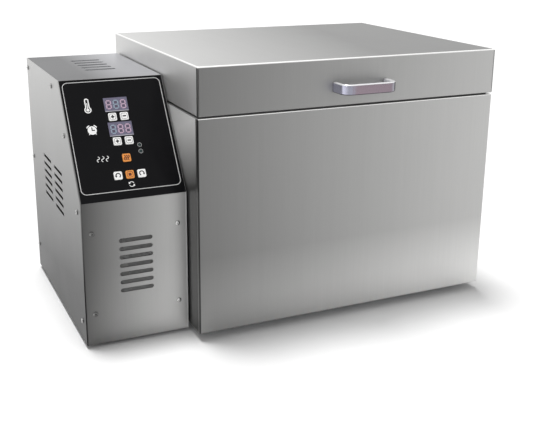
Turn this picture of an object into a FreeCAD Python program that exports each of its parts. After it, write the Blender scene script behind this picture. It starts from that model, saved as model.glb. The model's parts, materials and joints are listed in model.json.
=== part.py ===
"""Countertop drum roaster: heated body with a hinged lid, a lift-out drum and a side control box.

Millimetres, +Z up. Pieces are modelled about the middle of the roasting body (X to the right, Y to the
back, Z from the floor) and are then moved together, so that the origin lies under the middle of the whole
roaster.
"""
import FreeCAD, Part
import math
import os
from FreeCAD import Placement, Rotation, Vector

# ---------------------------------------------------------------- sheet metal and common hardware
SHEET = 1.2                  # stainless sheet of the outer skins
THIN_SHEET = 0.8             # sheet of the lid's inner pan
BASE_SHEET = 1.5             # galvanised base plate
BEND_RADIUS = 1.6            # outside radius of the folded edges
EDGE_RADIUS = 0.8            # rounded rims of single sheets
CORNER_SEAM = 0.8            # open joint between neighbouring skins
SCREW_RADIUS = 2.0           # M4 shank
SCREW_LENGTH = 7.0
SCREW_HEAD_RADIUS = 3.7
SCREW_HEAD_HEIGHT = 2.0
SCREW_CROWN_RADIUS = 2.035   # flat middle of the head
SCREW_HOLE_GAP = 0.15        # round the shank, in every sheet that it passes
FIT_GAP = 0.3                # between pieces that are laid against each other but are not flat
RUNNING_GAP = 0.05           # radial, shafts and pins in their bores
SERVICE_GAP = 1.2            # round heater ends and probe in the sheets that they only pass
SHAFT_GAP = 2.4              # round the drive shaft in the same sheets

# ---------------------------------------------------------------- roasting body
BODY_DEPTH = 410.0
CASE_HEIGHT = 323.0          # from the bottom edge to the deck
FOOT_HEIGHT = 12.0           # floor to the bottom edge of the casing
END_AIR = 14.6               # between the insulation and the skins, at the ends
SIDE_AIR = 5.6               # the same at the front and rear
BASE_AIR = 2.6               # the same above the base plate
RETURN_DEPTH = 10.0          # edges of the front and rear skins that fold round the corners
FLANGE_WIDTH = 14.0          # inward flanges of the side skins
FOOT_RADIUS = 15.0
FOOT_TAPER = 2.5
FOOT_INSET = 55.0
BASE_SCREW_INSET = 7.0
BASE_SCREW_MARGIN = 20.0     # from the front and rear, to where the screws' fields begin
BASE_SCREW_ROWS = 3

# ---------------------------------------------------------------- lid
LID_HEIGHT = 72.0            # deck to the top of the lid
LID_SEAM = 2.5
LID_FLANGE = 16.0
PAN_INSET = 24.0             # from the lid's outside to the pan's cavity
PAN_CEILING = 37.0           # pan's roof above the deck
PAN_LIP = 14.0
GASKET_WIDTH = 9.0
GASKET_INSET = 4.0
GASKET_HEIGHT = 2.2
HANDLE_SPAN = 86.0           # between the middles of the two legs
HANDLE_REACH = 34.0
HANDLE_DROP = 30.5           # middle of the handle above the seam
HANDLE_HEIGHT = 15.5
HANDLE_THICKNESS = 7.0
HANDLE_CORNER = 2.0
HANDLE_BEND = 13.0
HANDLE_SHIFT = 6.0           # to the right of the middle of the body

# ---------------------------------------------------------------- lid hinges
HINGE_SPACING = 300.0
HINGE_WIDTH = 60.0
HINGE_LEAF_HEIGHT = 36.0
HINGE_LEAF = 2.0
HINGE_OFFSET = 6.5           # pin behind the rear skins
HINGE_RISE = 1.2             # pin above the deck
KNUCKLE_RADIUS = 4.0
KNUCKLE_GAP = 0.4
PIN_RADIUS = 2.0
PIN_HEAD = 1.5
PIN_HEAD_RADIUS = 3.0
HINGE_SCREW_SPREAD = 36.0
HINGE_SCREW_ROWS = (12.0, 28.0)

# ---------------------------------------------------------------- heated well
WELL_LENGTH = 416.0
WELL_SHEET = 1.2
WELL_FLANGE = 10.0
WELL_END_MARGIN = 6.0
INSULATION = 25.0

# ---------------------------------------------------------------- heaters and probe
HEATER_COUNT = 3
HEATER_TUBE_RADIUS = 4.0
HEATER_WALL_GAP = 14.0       # middles of the heater legs from the well's wall
HEATER_DRUM_GAP = 20.0       # and from the drum's shell
HEATER_LEG_ANGLE = 20.0      # degrees between neighbouring legs
HEATER_END_GAP = 40.0        # right-hand bends from the well's end
HEATER_BEND = 20.0
HEATER_STUD_LENGTH = 8.0
HEATER_STUD_RADIUS = 2.0
HEATER_BEAD_LENGTH = 7.0
HEATER_BEAD_RADIUS = 5.0
FERRULE_RADIUS = 6.5
FERRULE_HEAD_RADIUS = 9.0
FERRULE_HEAD = 5.0
SADDLE_PLACE = 110.0
SADDLE_SHEET = 2.0
SADDLE_HALF_ANGLE = 57.0
SADDLE_RIDGE = 6.5           # comb inside the middles of the heater legs
PROBE_RADIUS = 2.5
PROBE_ANGLE = 76.0
PROBE_REACH = 60.0

# ---------------------------------------------------------------- drum
DRUM_END_SPACE = 36.0        # from the shell to the well's ends, for the bearings
DRUM_HEADROOM = 7.4          # from the door's pull, when it is on top, to the lid's pan
DRUM_SHEET = 1.0
DRUM_END_SHEET = 1.5
DRUM_END_RIM = 10.0          # rims point outwards, so the heads lie this far inside the shell's edges
DRUM_SEAT_GAP = 0.1
END_SLOT_COUNT = 24
END_SLOT_INSET = 56.0        # from the shell to the middle of the ring of vent slots
END_SLOT_LENGTH = 42.0
END_SLOT_WIDTH = 4.0
DOORWAY_LENGTH = 160.0
DOORWAY_HALF_ANGLE = 21.0
DOOR_SHEET = 1.2
DOOR_LENGTH = 180.0
DOOR_HALF_ANGLE = 27.0
DOOR_TRAVEL_ANGLE = 50.0
DOOR_GAP = 0.6               # above and below the door, in its rails
RAIL_SHEET = 1.2
RAIL_LIP = 5.5
RAIL_FOOT = 6.0
RAIL_SIDE_GAP = 1.0
RAIL_END_ANGLE = 3.0         # rail beyond the door at both ends of its travel
PULL_WIDTH = 44.0
PULL_RISE = 7.5
PULL_RADIUS = 1.8
PULL_BEND = 4.0
VANE_COUNT = 3
VANE_HEIGHT = 24.0
VANE_TIP = 9.0
VANE_SHEET = 1.2
VANE_TWIST = 36.0            # degrees from end to end, so that the beans are moved along as well as lifted
VANE_STATIONS = 7
VANE_END_GAP = 0.5           # between a vane and the drum's heads
JOURNAL_RADIUS = 8.0
JOURNAL_LENGTH = 27.0
JOURNAL_FLANGE_RADIUS = 24.0
JOURNAL_FLANGE = 3.0
TANG_LENGTH = 8.5
TANG_WIDTH = 6.0

# ---------------------------------------------------------------- drum bearings and drive
CRADLE_SHEET = 4.0
CRADLE_HALF_WIDTH = 28.0
CRADLE_BELOW = 34.0
CRADLE_ABOVE = 14.0
CRADLE_FOOT = 14.0
CRADLE_STAND = 20.0          # cradle plate from the well's end
SHAFT_RADIUS = 5.0
HUB_RADIUS = 15.0
HUB_LENGTH = 12.0
HUB_SLOT_DEPTH = 9.0
HUB_SLOT_GAP = 0.3
HUB_END_GAP = 0.5
BUSH_RADIUS = 9.0
BUSH_FLANGE_RADIUS = 16.0
BUSH_FLANGE = 3.0
MOTOR_PLATE = 2.5
MOTOR_PLATE_STAND = 9.0      # motor plate from the control box's inner wall
MOTOR_PLATE_HALF = 44.0
GEARBOX_RADIUS = 32.0
GEARBOX_LENGTH = 24.0
MOTOR_RADIUS = 30.0
MOTOR_LENGTH = 38.0
SHAFT_IN_GEARBOX = 14.0

# ---------------------------------------------------------------- control box
CONTROL_WIDTH = 155.0
CONTROL_SETBACK = 44.0       # its front behind the body's front
CONTROL_INSET = 16.0         # its rear in front of the body's rear
CONTROL_BOTTOM = 5.0
PANEL_FOOT = 219.0           # height of the bend where the sloped panel starts
PANEL_RUN = 105.0            # depth taken by the sloped panel
PANEL_RISE = 155.0           # height taken by it
HEAT_GAP = 3.0               # air between the control box and the body
CONTROL_FLANGE = 15.0
CONTROL_FOOT_RADIUS = 9.0
CONTROL_FOOT_INSET = 26.0
COVER_SEAM = 0.3
SPACER_RADIUS = 10.0
SPACER_RISE = 28.0           # lower spacers above the body's bottom edge
SPACER_DROP = 39.0           # upper spacers below the deck
SPACER_REAR = 24.0           # rear spacers from the control box's rear
SPACER_FRONT = (26.0, 86.0)  # lower and upper front spacers from its front
COVER_SCREW_FRONT = 21.0     # from the control box's front
COVER_SCREW_REAR = 10.0      # from its rear
COVER_SCREW_TOP = 15.0       # below its top
COVER_SCREW_CREST = 48.0     # behind its top front edge
COVER_SCREW_SLOPE = (24.5, 75.0)   # in front of that edge, and below the top
COVER_SCREW_BEND = 17.0      # below the bend at the panel's foot
COVER_SCREW_MIDDLE = 167.0   # below the top
COVER_SCREW_LOW = (31.0, 42.0)     # front and rear, above the bottom
FRONT_SCREW_INSET = 14.5
FRONT_SCREW_RISE = 47.5      # above the bottom
FRONT_SCREW_DROP = 45.0      # below the bend
FRONT_SLOT_COUNT = 7
FRONT_SLOT_PITCH = 12.7
FRONT_SLOT_DROP = 60.6       # first slot below the bend
FRONT_SLOT_LENGTH = 49.5
FRONT_SLOT_WIDTH = 6.2
SIDE_SLOT_COUNT = 6
SIDE_SLOT_PITCH = 12.5
SIDE_SLOT_DROP = 141.7       # first slot below the top
SIDE_SLOT_LENGTH = 57.0
SIDE_SLOT_WIDTH = 3.0
SIDE_SLOT_COLUMNS = (141.0, 219.0)
TOP_SLOT_COUNT = 5
TOP_SLOT_PITCH = 24.5
TOP_SLOT_START = 82.0        # first slot behind the top front edge
TOP_SLOT_LENGTH = 48.0
TOP_SLOT_WIDTH = 10.0
TOP_SLOT_MIDDLE = 83.5       # from the left side

# ---------------------------------------------------------------- operating panel
OVERLAY = 0.6
OVERLAY_MARGIN = 0.5
PANEL_COLUMN = 77.7          # middle of keys and displays, from the left side
KEY_SIZE = 12.0
KEY_CORNER = 2.0
KEY_PITCH = 17.3
KEY_PROUD = 1.1
KEY_TRAVEL = 0.5
KEY_DEPTH = 4.5
KEY_GAP = 0.3
TEMPERATURE_KEY_ROW = 62.0   # rows are measured down the slope from its upper bend
TIME_KEY_ROW = 100.0
HEAT_KEY_ROW = 126.0
DRUM_KEY_ROW = 151.6
DISPLAY_WIDTH = 35.0
DISPLAY_HEIGHT = 21.6
DISPLAY_DEPTH = 8.0
DISPLAY_SUNK = 0.15
DISPLAY_ROWS = (42.5, 80.9)
LAMP_RADIUS = 2.4
LAMP_CROWN_RADIUS = 1.44
LAMP_DEPTH = 6.0
LAMP_COLUMN = 100.4
LAMP_ROWS = (108.0, 118.0)
BOARD_DEPTH = 12.0           # behind the panel's outer face
BOARD_SHEET = 1.6
BOARD_WIDTH = 110.0
BOARD_HEIGHT = 150.0
BOARD_TOP = 19.2             # below the upper bend
STANDOFF_RADIUS = 3.0
STANDOFF_INSET = 6.0
SWITCH_SIZE = 6.0
SWITCH_PLAY = 0.1            # left between key and switch at full travel

# ---------------------------------------------------------------- electrical pieces in the control box
RELAY_SIZE = (45.0, 58.0, 24.0)
RELAY_PLACE = (34.0, 120.0)  # from the left side and the front of the control box
TERMINAL_SIZE = (24.0, 84.0, 20.0)
TERMINAL_PLACE = (104.0, 125.0)    # from its left side, and forward from its rear
GLAND_HEIGHT = 60.0
GLAND_PLACE = 44.0           # from the left side of the control box
GLAND_RADIUS = 11.0
GLAND_BORE = 4.2
GLAND_REACH = 15.0
GLAND_NOSE_RADIUS = 7.7
GLAND_THREAD_RADIUS = 8.0
GLAND_NUT = 5.0

# ---------------------------------------------------------------- derived places
HALF_DEPTH = BODY_DEPTH / 2
CASE_BOTTOM = FOOT_HEIGHT
DECK_TOP = CASE_BOTTOM + CASE_HEIGHT
DECK_UNDER = DECK_TOP - SHEET
BASE_UNDER = CASE_BOTTOM + SHEET
BASE_TOP = BASE_UNDER + BASE_SHEET

LID_BOTTOM = DECK_TOP + LID_SEAM
LID_TOP = DECK_TOP + LID_HEIGHT
PAN_TOP = DECK_TOP + PAN_CEILING
HANDLE_Z = DECK_TOP + HANDLE_DROP

# The well is the largest that fits: front to rear between the skins, and from the base up to the lid's pan,
# which the door's pull on the drum has to pass.
DRUM_WELL_GAP = HEATER_WALL_GAP + HEATER_DRUM_GAP
PULL_HEIGHT = DOOR_GAP + DOOR_SHEET + PULL_RISE + PULL_RADIUS
WELL_FLOOR = BASE_TOP + BASE_AIR + INSULATION + WELL_SHEET
DEPTH_ROOM = HALF_DEPTH - SHEET - SIDE_AIR - INSULATION - WELL_SHEET
HEIGHT_ROOM = (PAN_TOP - DRUM_HEADROOM - PULL_HEIGHT + DRUM_WELL_GAP - WELL_FLOOR) / 2
WELL_RADIUS = min(DEPTH_ROOM, HEIGHT_ROOM)
WELL_HALF = WELL_LENGTH / 2
WELL_OUTER = WELL_RADIUS + WELL_SHEET
END_OUTER = WELL_HALF + WELL_SHEET
HALF_WIDTH = END_OUTER + INSULATION + END_AIR + SHEET
AXIS_Z = WELL_FLOOR + WELL_RADIUS
HEATER_CIRCLE = WELL_RADIUS - HEATER_WALL_GAP
HEATER_FAR_END = WELL_HALF - HEATER_END_GAP
SADDLE_INNER = HEATER_CIRCLE - SADDLE_RIDGE

DRUM_RADIUS = HEATER_CIRCLE - HEATER_DRUM_GAP
DRUM_HALF = WELL_HALF - DRUM_END_SPACE
HEAD_FACE = DRUM_HALF - DRUM_END_RIM
END_SLOT_RADIUS = DRUM_RADIUS - END_SLOT_INSET
PIVOT_Y = HALF_DEPTH + HINGE_OFFSET
PIVOT_Z = DECK_TOP + HINGE_RISE
CONTROL_RIGHT = -HALF_WIDTH - HEAT_GAP
CONTROL_LEFT = CONTROL_RIGHT - CONTROL_WIDTH
CONTROL_FRONT = -HALF_DEPTH + CONTROL_SETBACK
CONTROL_REAR = HALF_DEPTH - CONTROL_INSET
CONTROL_TOP = PANEL_FOOT + PANEL_RISE
PANEL_LENGTH = math.hypot(PANEL_RUN, PANEL_RISE)
PANEL_PLACE = Placement(Vector(CONTROL_LEFT, CONTROL_FRONT, PANEL_FOOT),
                        Rotation(Vector(1, 0, 0), math.degrees(math.atan2(PANEL_RISE, PANEL_RUN))))
CONTROL_INNER = CONTROL_RIGHT - SHEET
SCREW_HOLE = SCREW_RADIUS + SCREW_HOLE_GAP
REAR_REACH = HINGE_OFFSET + KNUCKLE_RADIUS
ORIGIN_SHIFT = Vector((CONTROL_WIDTH + HEAT_GAP + SCREW_HEAD_HEIGHT) / 2, (HANDLE_REACH - REAR_REACH) / 2, 0)

KEYS = {  # column in key pitches from the middle, and row
    "temperature_up_key": (-0.5, TEMPERATURE_KEY_ROW),
    "temperature_down_key": (0.5, TEMPERATURE_KEY_ROW),
    "time_up_key": (-0.5, TIME_KEY_ROW),
    "time_down_key": (0.5, TIME_KEY_ROW),
    "heat_key": (0.0, HEAT_KEY_ROW),
    "drum_forward_key": (-1.0, DRUM_KEY_ROW),
    "drum_stop_key": (0.0, DRUM_KEY_ROW),
    "drum_reverse_key": (1.0, DRUM_KEY_ROW),
}


# ---------------------------------------------------------------- building helpers
def slab(x, y, z):
    """Box between the low and high value on each axis."""
    return Part.makeBox(x[1] - x[0], y[1] - y[0], z[1] - z[0], Vector(x[0], y[0], z[0]))


def rod(start, end, radius):
    """Round bar between two points."""
    span = Vector(*end) - Vector(*start)
    return Part.makeCylinder(radius, span.Length, Vector(*start), span)


def pipe(start, end, outer, inner):
    """Round tube between two points."""
    return rod(start, end, outer).cut(rod(start, end, inner))


def joined(pieces):
    """One solid from touching pieces."""
    return pieces[0].fuse(pieces[1:]).removeSplitter()


def group(pieces):
    """Separate solids that are kept together."""
    return Part.makeCompound(pieces)


def both_sides(low, high):
    """A span on the positive side and its mirror image on the negative side."""
    return ((low, high), (-high, -low))


def spread(count, pitch):
    """Places of evenly spaced copies about zero."""
    return [(index - (count - 1) / 2) * pitch for index in range(count)]


def prism(outline, x):
    """Solid between two X places with an outline of Y, Z points."""
    wire = Part.makePolygon([Vector(x[0], y, z) for y, z in outline + outline[:1]])
    return Part.Face(wire).extrude(Vector(x[1] - x[0], 0, 0))


def lathe(outline, base, axis):
    """Turned solid: the outline gives the distance along the axis and the radius."""
    wire = Part.makePolygon([Vector(along, radius, 0) for along, radius in outline + outline[:1]])
    solid = Part.Face(wire).revolve(Vector(0, 0, 0), Vector(1, 0, 0), 360)
    solid.Placement = Placement(Vector(*base), Rotation(Vector(1, 0, 0), Vector(*axis)))
    return solid


def ring_piece(x, inner, outer, start, end):
    """Part of a ring about the drum's axis; angles in degrees run from the top to the back."""
    face = Part.Face(Part.makePolygon([Vector(x[0], 0, inner), Vector(x[1], 0, inner), Vector(x[1], 0, outer),
                                       Vector(x[0], 0, outer), Vector(x[0], 0, inner)]))
    face.rotate(Vector(0, 0, 0), Vector(-1, 0, 0), start)
    solid = face.revolve(Vector(0, 0, 0), Vector(-1, 0, 0), end - start)
    solid.translate(Vector(0, 0, AXIS_Z))
    return solid


def about_axis(angle, radius):
    """Y and Z of a point at an angle from straight below the drum's axis, towards the back."""
    turn = math.radians(angle)
    return radius * math.sin(turn), AXIS_Z - radius * math.cos(turn)


def obround(length, width, depth):
    """Slot cutter with round ends, long along X, centred in X and Y, from -depth to +depth in Z."""
    reach = (length - width) / 2
    half = width / 2
    edges = [
        Part.LineSegment(Vector(-reach, -half, 0), Vector(reach, -half, 0)),
        Part.Arc(Vector(reach, -half, 0), Vector(reach + half, 0, 0), Vector(reach, half, 0)),
        Part.LineSegment(Vector(reach, half, 0), Vector(-reach, half, 0)),
        Part.Arc(Vector(-reach, half, 0), Vector(-reach - half, 0, 0), Vector(-reach, -half, 0)),
    ]
    face = Part.Face(Part.Wire([edge.toShape() for edge in edges]))
    face.translate(Vector(0, 0, -depth))
    return face.extrude(Vector(0, 0, 2 * depth))


def placed(shape, place, axis=(0, 0, 1), turn=0.0):
    """Copy of a shape, turned about an axis and then moved."""
    copy = shape.copy()
    copy.Placement = Placement(Vector(*place), Rotation(Vector(*axis), turn))
    return copy


def rounded_block(size, corner, z):
    """Block centred in X and Y with rounded upright edges."""
    width, height = size
    block = slab((-width / 2, width / 2), (-height / 2, height / 2), z)
    upright = [edge for edge in block.Edges if abs(edge.tangentAt(edge.FirstParameter).z) > 0.5]
    return block.makeFillet(corner, upright)


def softened(block, radius, chosen):
    """Block with the chosen edges rounded; chosen takes the middle of an edge."""
    return block.makeFillet(radius, [edge for edge in block.Edges if chosen(edge.CenterOfMass)])


def bent_bar(points, bend, section):
    """Bar along straight runs joined by tangent arcs; section is its wire at the first point."""
    corners = [Vector(*point) for point in points]
    edges = []
    start = corners[0]
    for before, corner, after in zip(corners, corners[1:], corners[2:]):
        inward = (corner - before).normalize()
        outward = (after - corner).normalize()
        half_turn = inward.getAngle(outward) / 2
        first = corner - inward * (bend * math.tan(half_turn))
        last = corner + outward * (bend * math.tan(half_turn))
        middle = corner + (outward - inward).normalize() * (bend / math.cos(half_turn) - bend)
        edges.append(Part.LineSegment(start, first).toShape())
        edges.append(Part.Arc(first, middle, last).toShape())
        start = last
    edges.append(Part.LineSegment(start, corners[-1]).toShape())
    return Part.Wire(edges).makePipeShell([section], True, True)


def round_section(place, axis, radius):
    """Circular wire for a bent bar."""
    return Part.Wire(Part.makeCircle(radius, Vector(*place), Vector(*axis)))


def screw(place, outward):
    """Pan-head screw: place lies on the sheet under the head, outward points away from the sheet."""
    outline = [(-SCREW_LENGTH, 0), (-SCREW_LENGTH, SCREW_RADIUS), (0, SCREW_RADIUS), (0, SCREW_HEAD_RADIUS),
               (SCREW_HEAD_HEIGHT / 2, SCREW_HEAD_RADIUS), (SCREW_HEAD_HEIGHT, SCREW_CROWN_RADIUS),
               (SCREW_HEAD_HEIGHT, 0)]
    return lathe(outline, place, outward)


def screw_holes(places, outward):
    """Cutters for the shanks of screws that share one direction."""
    way = Vector(*outward)
    ends = [(Vector(*place) - way * SCREW_LENGTH, Vector(*place) + way * SCREW_LENGTH) for place in places]
    return [rod(tuple(start), tuple(end), SCREW_HOLE) for start, end in ends]


# ---------------------------------------------------------------- roasting body
def corner_tray(y, front):
    """Front or rear skin: a tray whose edges fold round the corners, with its face at Y front."""
    top_edge = DECK_UNDER - BEND_RADIUS
    skin = softened(slab((-HALF_WIDTH, HALF_WIDTH), y, (CASE_BOTTOM, DECK_UNDER)), BEND_RADIUS,
                    lambda middle: abs(middle.y - front) < BEND_RADIUS and middle.z < top_edge)
    inner_y = (y[0] + SHEET, y[1] + SHEET) if front < 0 else (y[0] - SHEET, y[1] - SHEET)
    inner_x = (SHEET - HALF_WIDTH, HALF_WIDTH - SHEET)
    return skin.cut(slab(inner_x, inner_y, (CASE_BOTTOM + SHEET, DECK_UNDER - SHEET)))


def side_skin(side):
    """Left or right skin with inward flanges at the top and bottom; side is -1 or 1."""
    y = (RETURN_DEPTH + CORNER_SEAM - HALF_DEPTH, HALF_DEPTH - RETURN_DEPTH - CORNER_SEAM)
    spans = {True: (HALF_WIDTH - SHEET, HALF_WIDTH), False: (HALF_WIDTH - FLANGE_WIDTH, HALF_WIDTH)}
    plate, flange = [tuple(sorted((side * low, side * high))) for low, high in (spans[True], spans[False])]
    return joined([slab(plate, y, (CASE_BOTTOM, DECK_UNDER)),
                   slab(flange, y, (CASE_BOTTOM, CASE_BOTTOM + SHEET)),
                   slab(flange, y, (DECK_UNDER - SHEET, DECK_UNDER))])


def base_screw_places():
    """Screws that hold the base plate to the flanges, from below."""
    x_edge = HALF_WIDTH - BASE_SCREW_INSET
    pitch = (BODY_DEPTH - 2 * BASE_SCREW_MARGIN) / BASE_SCREW_ROWS
    return [(side * x_edge, row, CASE_BOTTOM) for side in (-1, 1) for row in spread(BASE_SCREW_ROWS, pitch)]


def foot_places():
    """Middles of the four feet of the roasting body."""
    column, row = HALF_WIDTH - FOOT_INSET, HALF_DEPTH - FOOT_INSET
    return [(side * column, end * row) for side in (-1, 1) for end in (-1, 1)]


def control_foot_places():
    """Middles of the four feet of the control box."""
    return [(x, y) for x in (CONTROL_LEFT + CONTROL_FOOT_INSET, CONTROL_RIGHT - CONTROL_FOOT_INSET)
            for y in (CONTROL_FRONT + CONTROL_FOOT_INSET, CONTROL_REAR - CONTROL_FOOT_INSET)]


def foot(x, y, top, radius):
    """Tapered rubber foot."""
    return lathe([(0, 0), (0, radius - FOOT_TAPER), (top, radius), (top, 0)], (x, y, 0), (0, 0, 1))


def hinge_screw_places(direction, surface):
    """Screws of both hinges on the leaf that lies above (1) or below (-1) the pin."""
    return [(hinge + offset, surface, PIVOT_Z + direction * row)
            for hinge in spread(2, HINGE_SPACING)
            for offset in spread(2, HINGE_SCREW_SPREAD)
            for row in HINGE_SCREW_ROWS]


def service_places():
    """Y, Z and clearance radius of everything that passes from the well into the control box."""
    bead_hole = HEATER_BEAD_RADIUS + SERVICE_GAP
    heater = [(*about_axis(angle, HEATER_CIRCLE), bead_hole) for angle in heater_angles()]
    probe = [(*about_axis(PROBE_ANGLE, HEATER_CIRCLE), PROBE_RADIUS + SERVICE_GAP)]
    return heater + probe + [(0.0, AXIS_Z, SHAFT_RADIUS + SHAFT_GAP)]


def service_holes(x):
    """Cutters through the sheets between well and control box."""
    return [rod((x[0], y, z), (x[1], y, z), radius) for y, z, radius in service_places()]


def spacer_places():
    """Y and Z of the four spacers that carry the control box."""
    heights = (CASE_BOTTOM + SPACER_RISE, DECK_TOP - SPACER_DROP)
    front = [(CONTROL_FRONT + back, height) for back, height in zip(SPACER_FRONT, heights)]
    return front + [(CONTROL_REAR - SPACER_REAR, height) for height in heights]


def spacer_holes(x):
    """Cutters for the bolts of the spacers."""
    return [rod((x[0], y, z), (x[1], y, z), SCREW_HOLE) for y, z in spacer_places()]


def build_casing(nodes):
    """Skins, base, deck, feet and the screws that hold them."""
    through = SCREW_LENGTH
    base_holes = screw_holes(base_screw_places(), (0, 0, -1))
    hinge_holes = screw_holes(hinge_screw_places(-1, HALF_DEPTH), (0, 1, 0))
    wall_cuts = service_holes((-HALF_WIDTH - through, -HALF_WIDTH + through))
    wall_cuts += spacer_holes((-HALF_WIDTH - through, -HALF_WIDTH + through))

    nodes["front_panel"] = corner_tray((-HALF_DEPTH, RETURN_DEPTH - HALF_DEPTH), -HALF_DEPTH)
    nodes["rear_panel"] = corner_tray((HALF_DEPTH - RETURN_DEPTH, HALF_DEPTH), HALF_DEPTH).cut(hinge_holes)
    nodes["left_side_panel"] = side_skin(-1).cut(base_holes + wall_cuts)
    nodes["right_side_panel"] = side_skin(1).cut(base_holes)
    base = slab((SHEET - HALF_WIDTH, HALF_WIDTH - SHEET), (SHEET - HALF_DEPTH, HALF_DEPTH - SHEET),
                (BASE_UNDER, BASE_TOP))
    nodes["base_plate"] = base.cut(base_holes)
    deck = slab((-HALF_WIDTH, HALF_WIDTH), (-HALF_DEPTH, HALF_DEPTH), (DECK_UNDER, DECK_TOP))
    deck = softened(deck, EDGE_RADIUS, lambda middle: middle.z > DECK_TOP - EDGE_RADIUS / 2)
    mouth = slab((-WELL_HALF, WELL_HALF), (-WELL_RADIUS, WELL_RADIUS), (DECK_UNDER, DECK_TOP))
    nodes["top_deck"] = deck.cut(mouth)

    outer = (HALF_WIDTH - GASKET_INSET, HALF_DEPTH - GASKET_INSET)
    inner = (outer[0] - GASKET_WIDTH, outer[1] - GASKET_WIDTH)
    height = (DECK_TOP, DECK_TOP + GASKET_HEIGHT)
    ring, hole = [rounded_block((2 * x, 2 * y), GASKET_WIDTH, height) for x, y in (outer, inner)]
    nodes["lid_gasket"] = ring.cut(hole)

    feet = [foot(x, y, BASE_UNDER, FOOT_RADIUS) for x, y in foot_places()]
    feet += [foot(x, y, CONTROL_BOTTOM, CONTROL_FOOT_RADIUS) for x, y in control_foot_places()]
    nodes["rubber_feet"] = group(feet)

    screws = [screw(place, (0, 0, -1)) for place in base_screw_places()]
    leaf_face = HALF_DEPTH + HINGE_LEAF
    screws += [screw(place, (0, 1, 0)) for place in hinge_screw_places(-1, leaf_face)]
    nodes["case_screws"] = group(screws)


# ---------------------------------------------------------------- heated well
def trough(radius, top, x):
    """Solid with the well's section: round below the drum's axis and straight-sided above it."""
    lowest = Vector(x[0], 0, AXIS_Z - radius)
    outline = [
        Part.Arc(Vector(x[0], -radius, AXIS_Z), lowest, Vector(x[0], radius, AXIS_Z)),
        Part.LineSegment(Vector(x[0], radius, AXIS_Z), Vector(x[0], radius, top)),
        Part.LineSegment(Vector(x[0], radius, top), Vector(x[0], -radius, top)),
        Part.LineSegment(Vector(x[0], -radius, top), Vector(x[0], -radius, AXIS_Z)),
    ]
    face = Part.Face(Part.Wire([edge.toShape() for edge in outline]))
    return face.extrude(Vector(x[1] - x[0], 0, 0))


def heater_angles():
    """Angles of the heater legs from straight below the axis."""
    return spread(2 * HEATER_COUNT, HEATER_LEG_ANGLE)


def heater_start():
    """X of the outer ends of the heater tubes, inside the control box."""
    return CONTROL_INNER - HEATER_BEAD_LENGTH


def well_end(side):
    """End plate of the well, with the holes that its side needs."""
    x = tuple(sorted((side * WELL_HALF, side * END_OUTER)))
    plate = trough(WELL_OUTER + WELL_END_MARGIN, DECK_UNDER, x)
    cuts = screw_holes([(side * WELL_HALF, y, z) for y, z in cradle_screw_places()], (side, 0, 0))
    if side < 0:
        cuts += [rod((x[0], y, z), (x[1], y, z), FERRULE_RADIUS + FIT_GAP) for y, z in ferrule_places()]
        cuts.append(rod((x[0], 0, AXIS_Z), (x[1], 0, AXIS_Z), BUSH_RADIUS + FIT_GAP))
    return plate.cut(cuts)


def ferrule_places():
    """Y and Z of the heater legs and the probe where they pass the well's left end."""
    return [about_axis(angle, HEATER_CIRCLE) for angle in (*heater_angles(), PROBE_ANGLE)]


def ferrule(y, z, bore):
    """Brass ferrule that clamps a tube in the well's left end."""
    inner = bore + RUNNING_GAP
    far_end = WELL_SHEET + INSULATION
    outline = [(-FERRULE_HEAD, inner), (-FERRULE_HEAD, FERRULE_HEAD_RADIUS), (0, FERRULE_HEAD_RADIUS),
               (0, FERRULE_RADIUS), (far_end, FERRULE_RADIUS), (far_end, inner)]
    return lathe(outline, (-WELL_HALF, y, z), (-1, 0, 0))


def u_heater(first, second):
    """U-shaped tube heater with a ceramic bead and a stud on each end."""
    near = heater_start()
    legs = [about_axis(angle, HEATER_CIRCLE) for angle in (first, second)]
    path = [(near, *legs[0]), (HEATER_FAR_END, *legs[0]), (HEATER_FAR_END, *legs[1]), (near, *legs[1])]
    tube = bent_bar(path, HEATER_BEND, round_section(path[0], (1, 0, 0), HEATER_TUBE_RADIUS))
    ends = [lathe([(0, 0), (0, HEATER_BEAD_RADIUS), (HEATER_BEAD_LENGTH, HEATER_BEAD_RADIUS),
                   (HEATER_BEAD_LENGTH, HEATER_STUD_RADIUS),
                   (HEATER_BEAD_LENGTH + HEATER_STUD_LENGTH, HEATER_STUD_RADIUS),
                   (HEATER_BEAD_LENGTH + HEATER_STUD_LENGTH, 0)], (near, *leg), (-1, 0, 0)) for leg in legs]
    return joined([tube] + ends)


def saddle(x):
    """Curved comb that carries the heater legs above the well's floor."""
    low, high = 180 - SADDLE_HALF_ANGLE, 180 + SADDLE_HALF_ANGLE
    comb = ring_piece((x, x + SADDLE_SHEET), SADDLE_INNER, WELL_RADIUS - FIT_GAP, low, high)
    holes = [rod((x, y, z), (x + SADDLE_SHEET, y, z), HEATER_TUBE_RADIUS + RUNNING_GAP)
             for y, z in [about_axis(angle, HEATER_CIRCLE) for angle in heater_angles()]]
    return comb.cut(holes)


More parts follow.
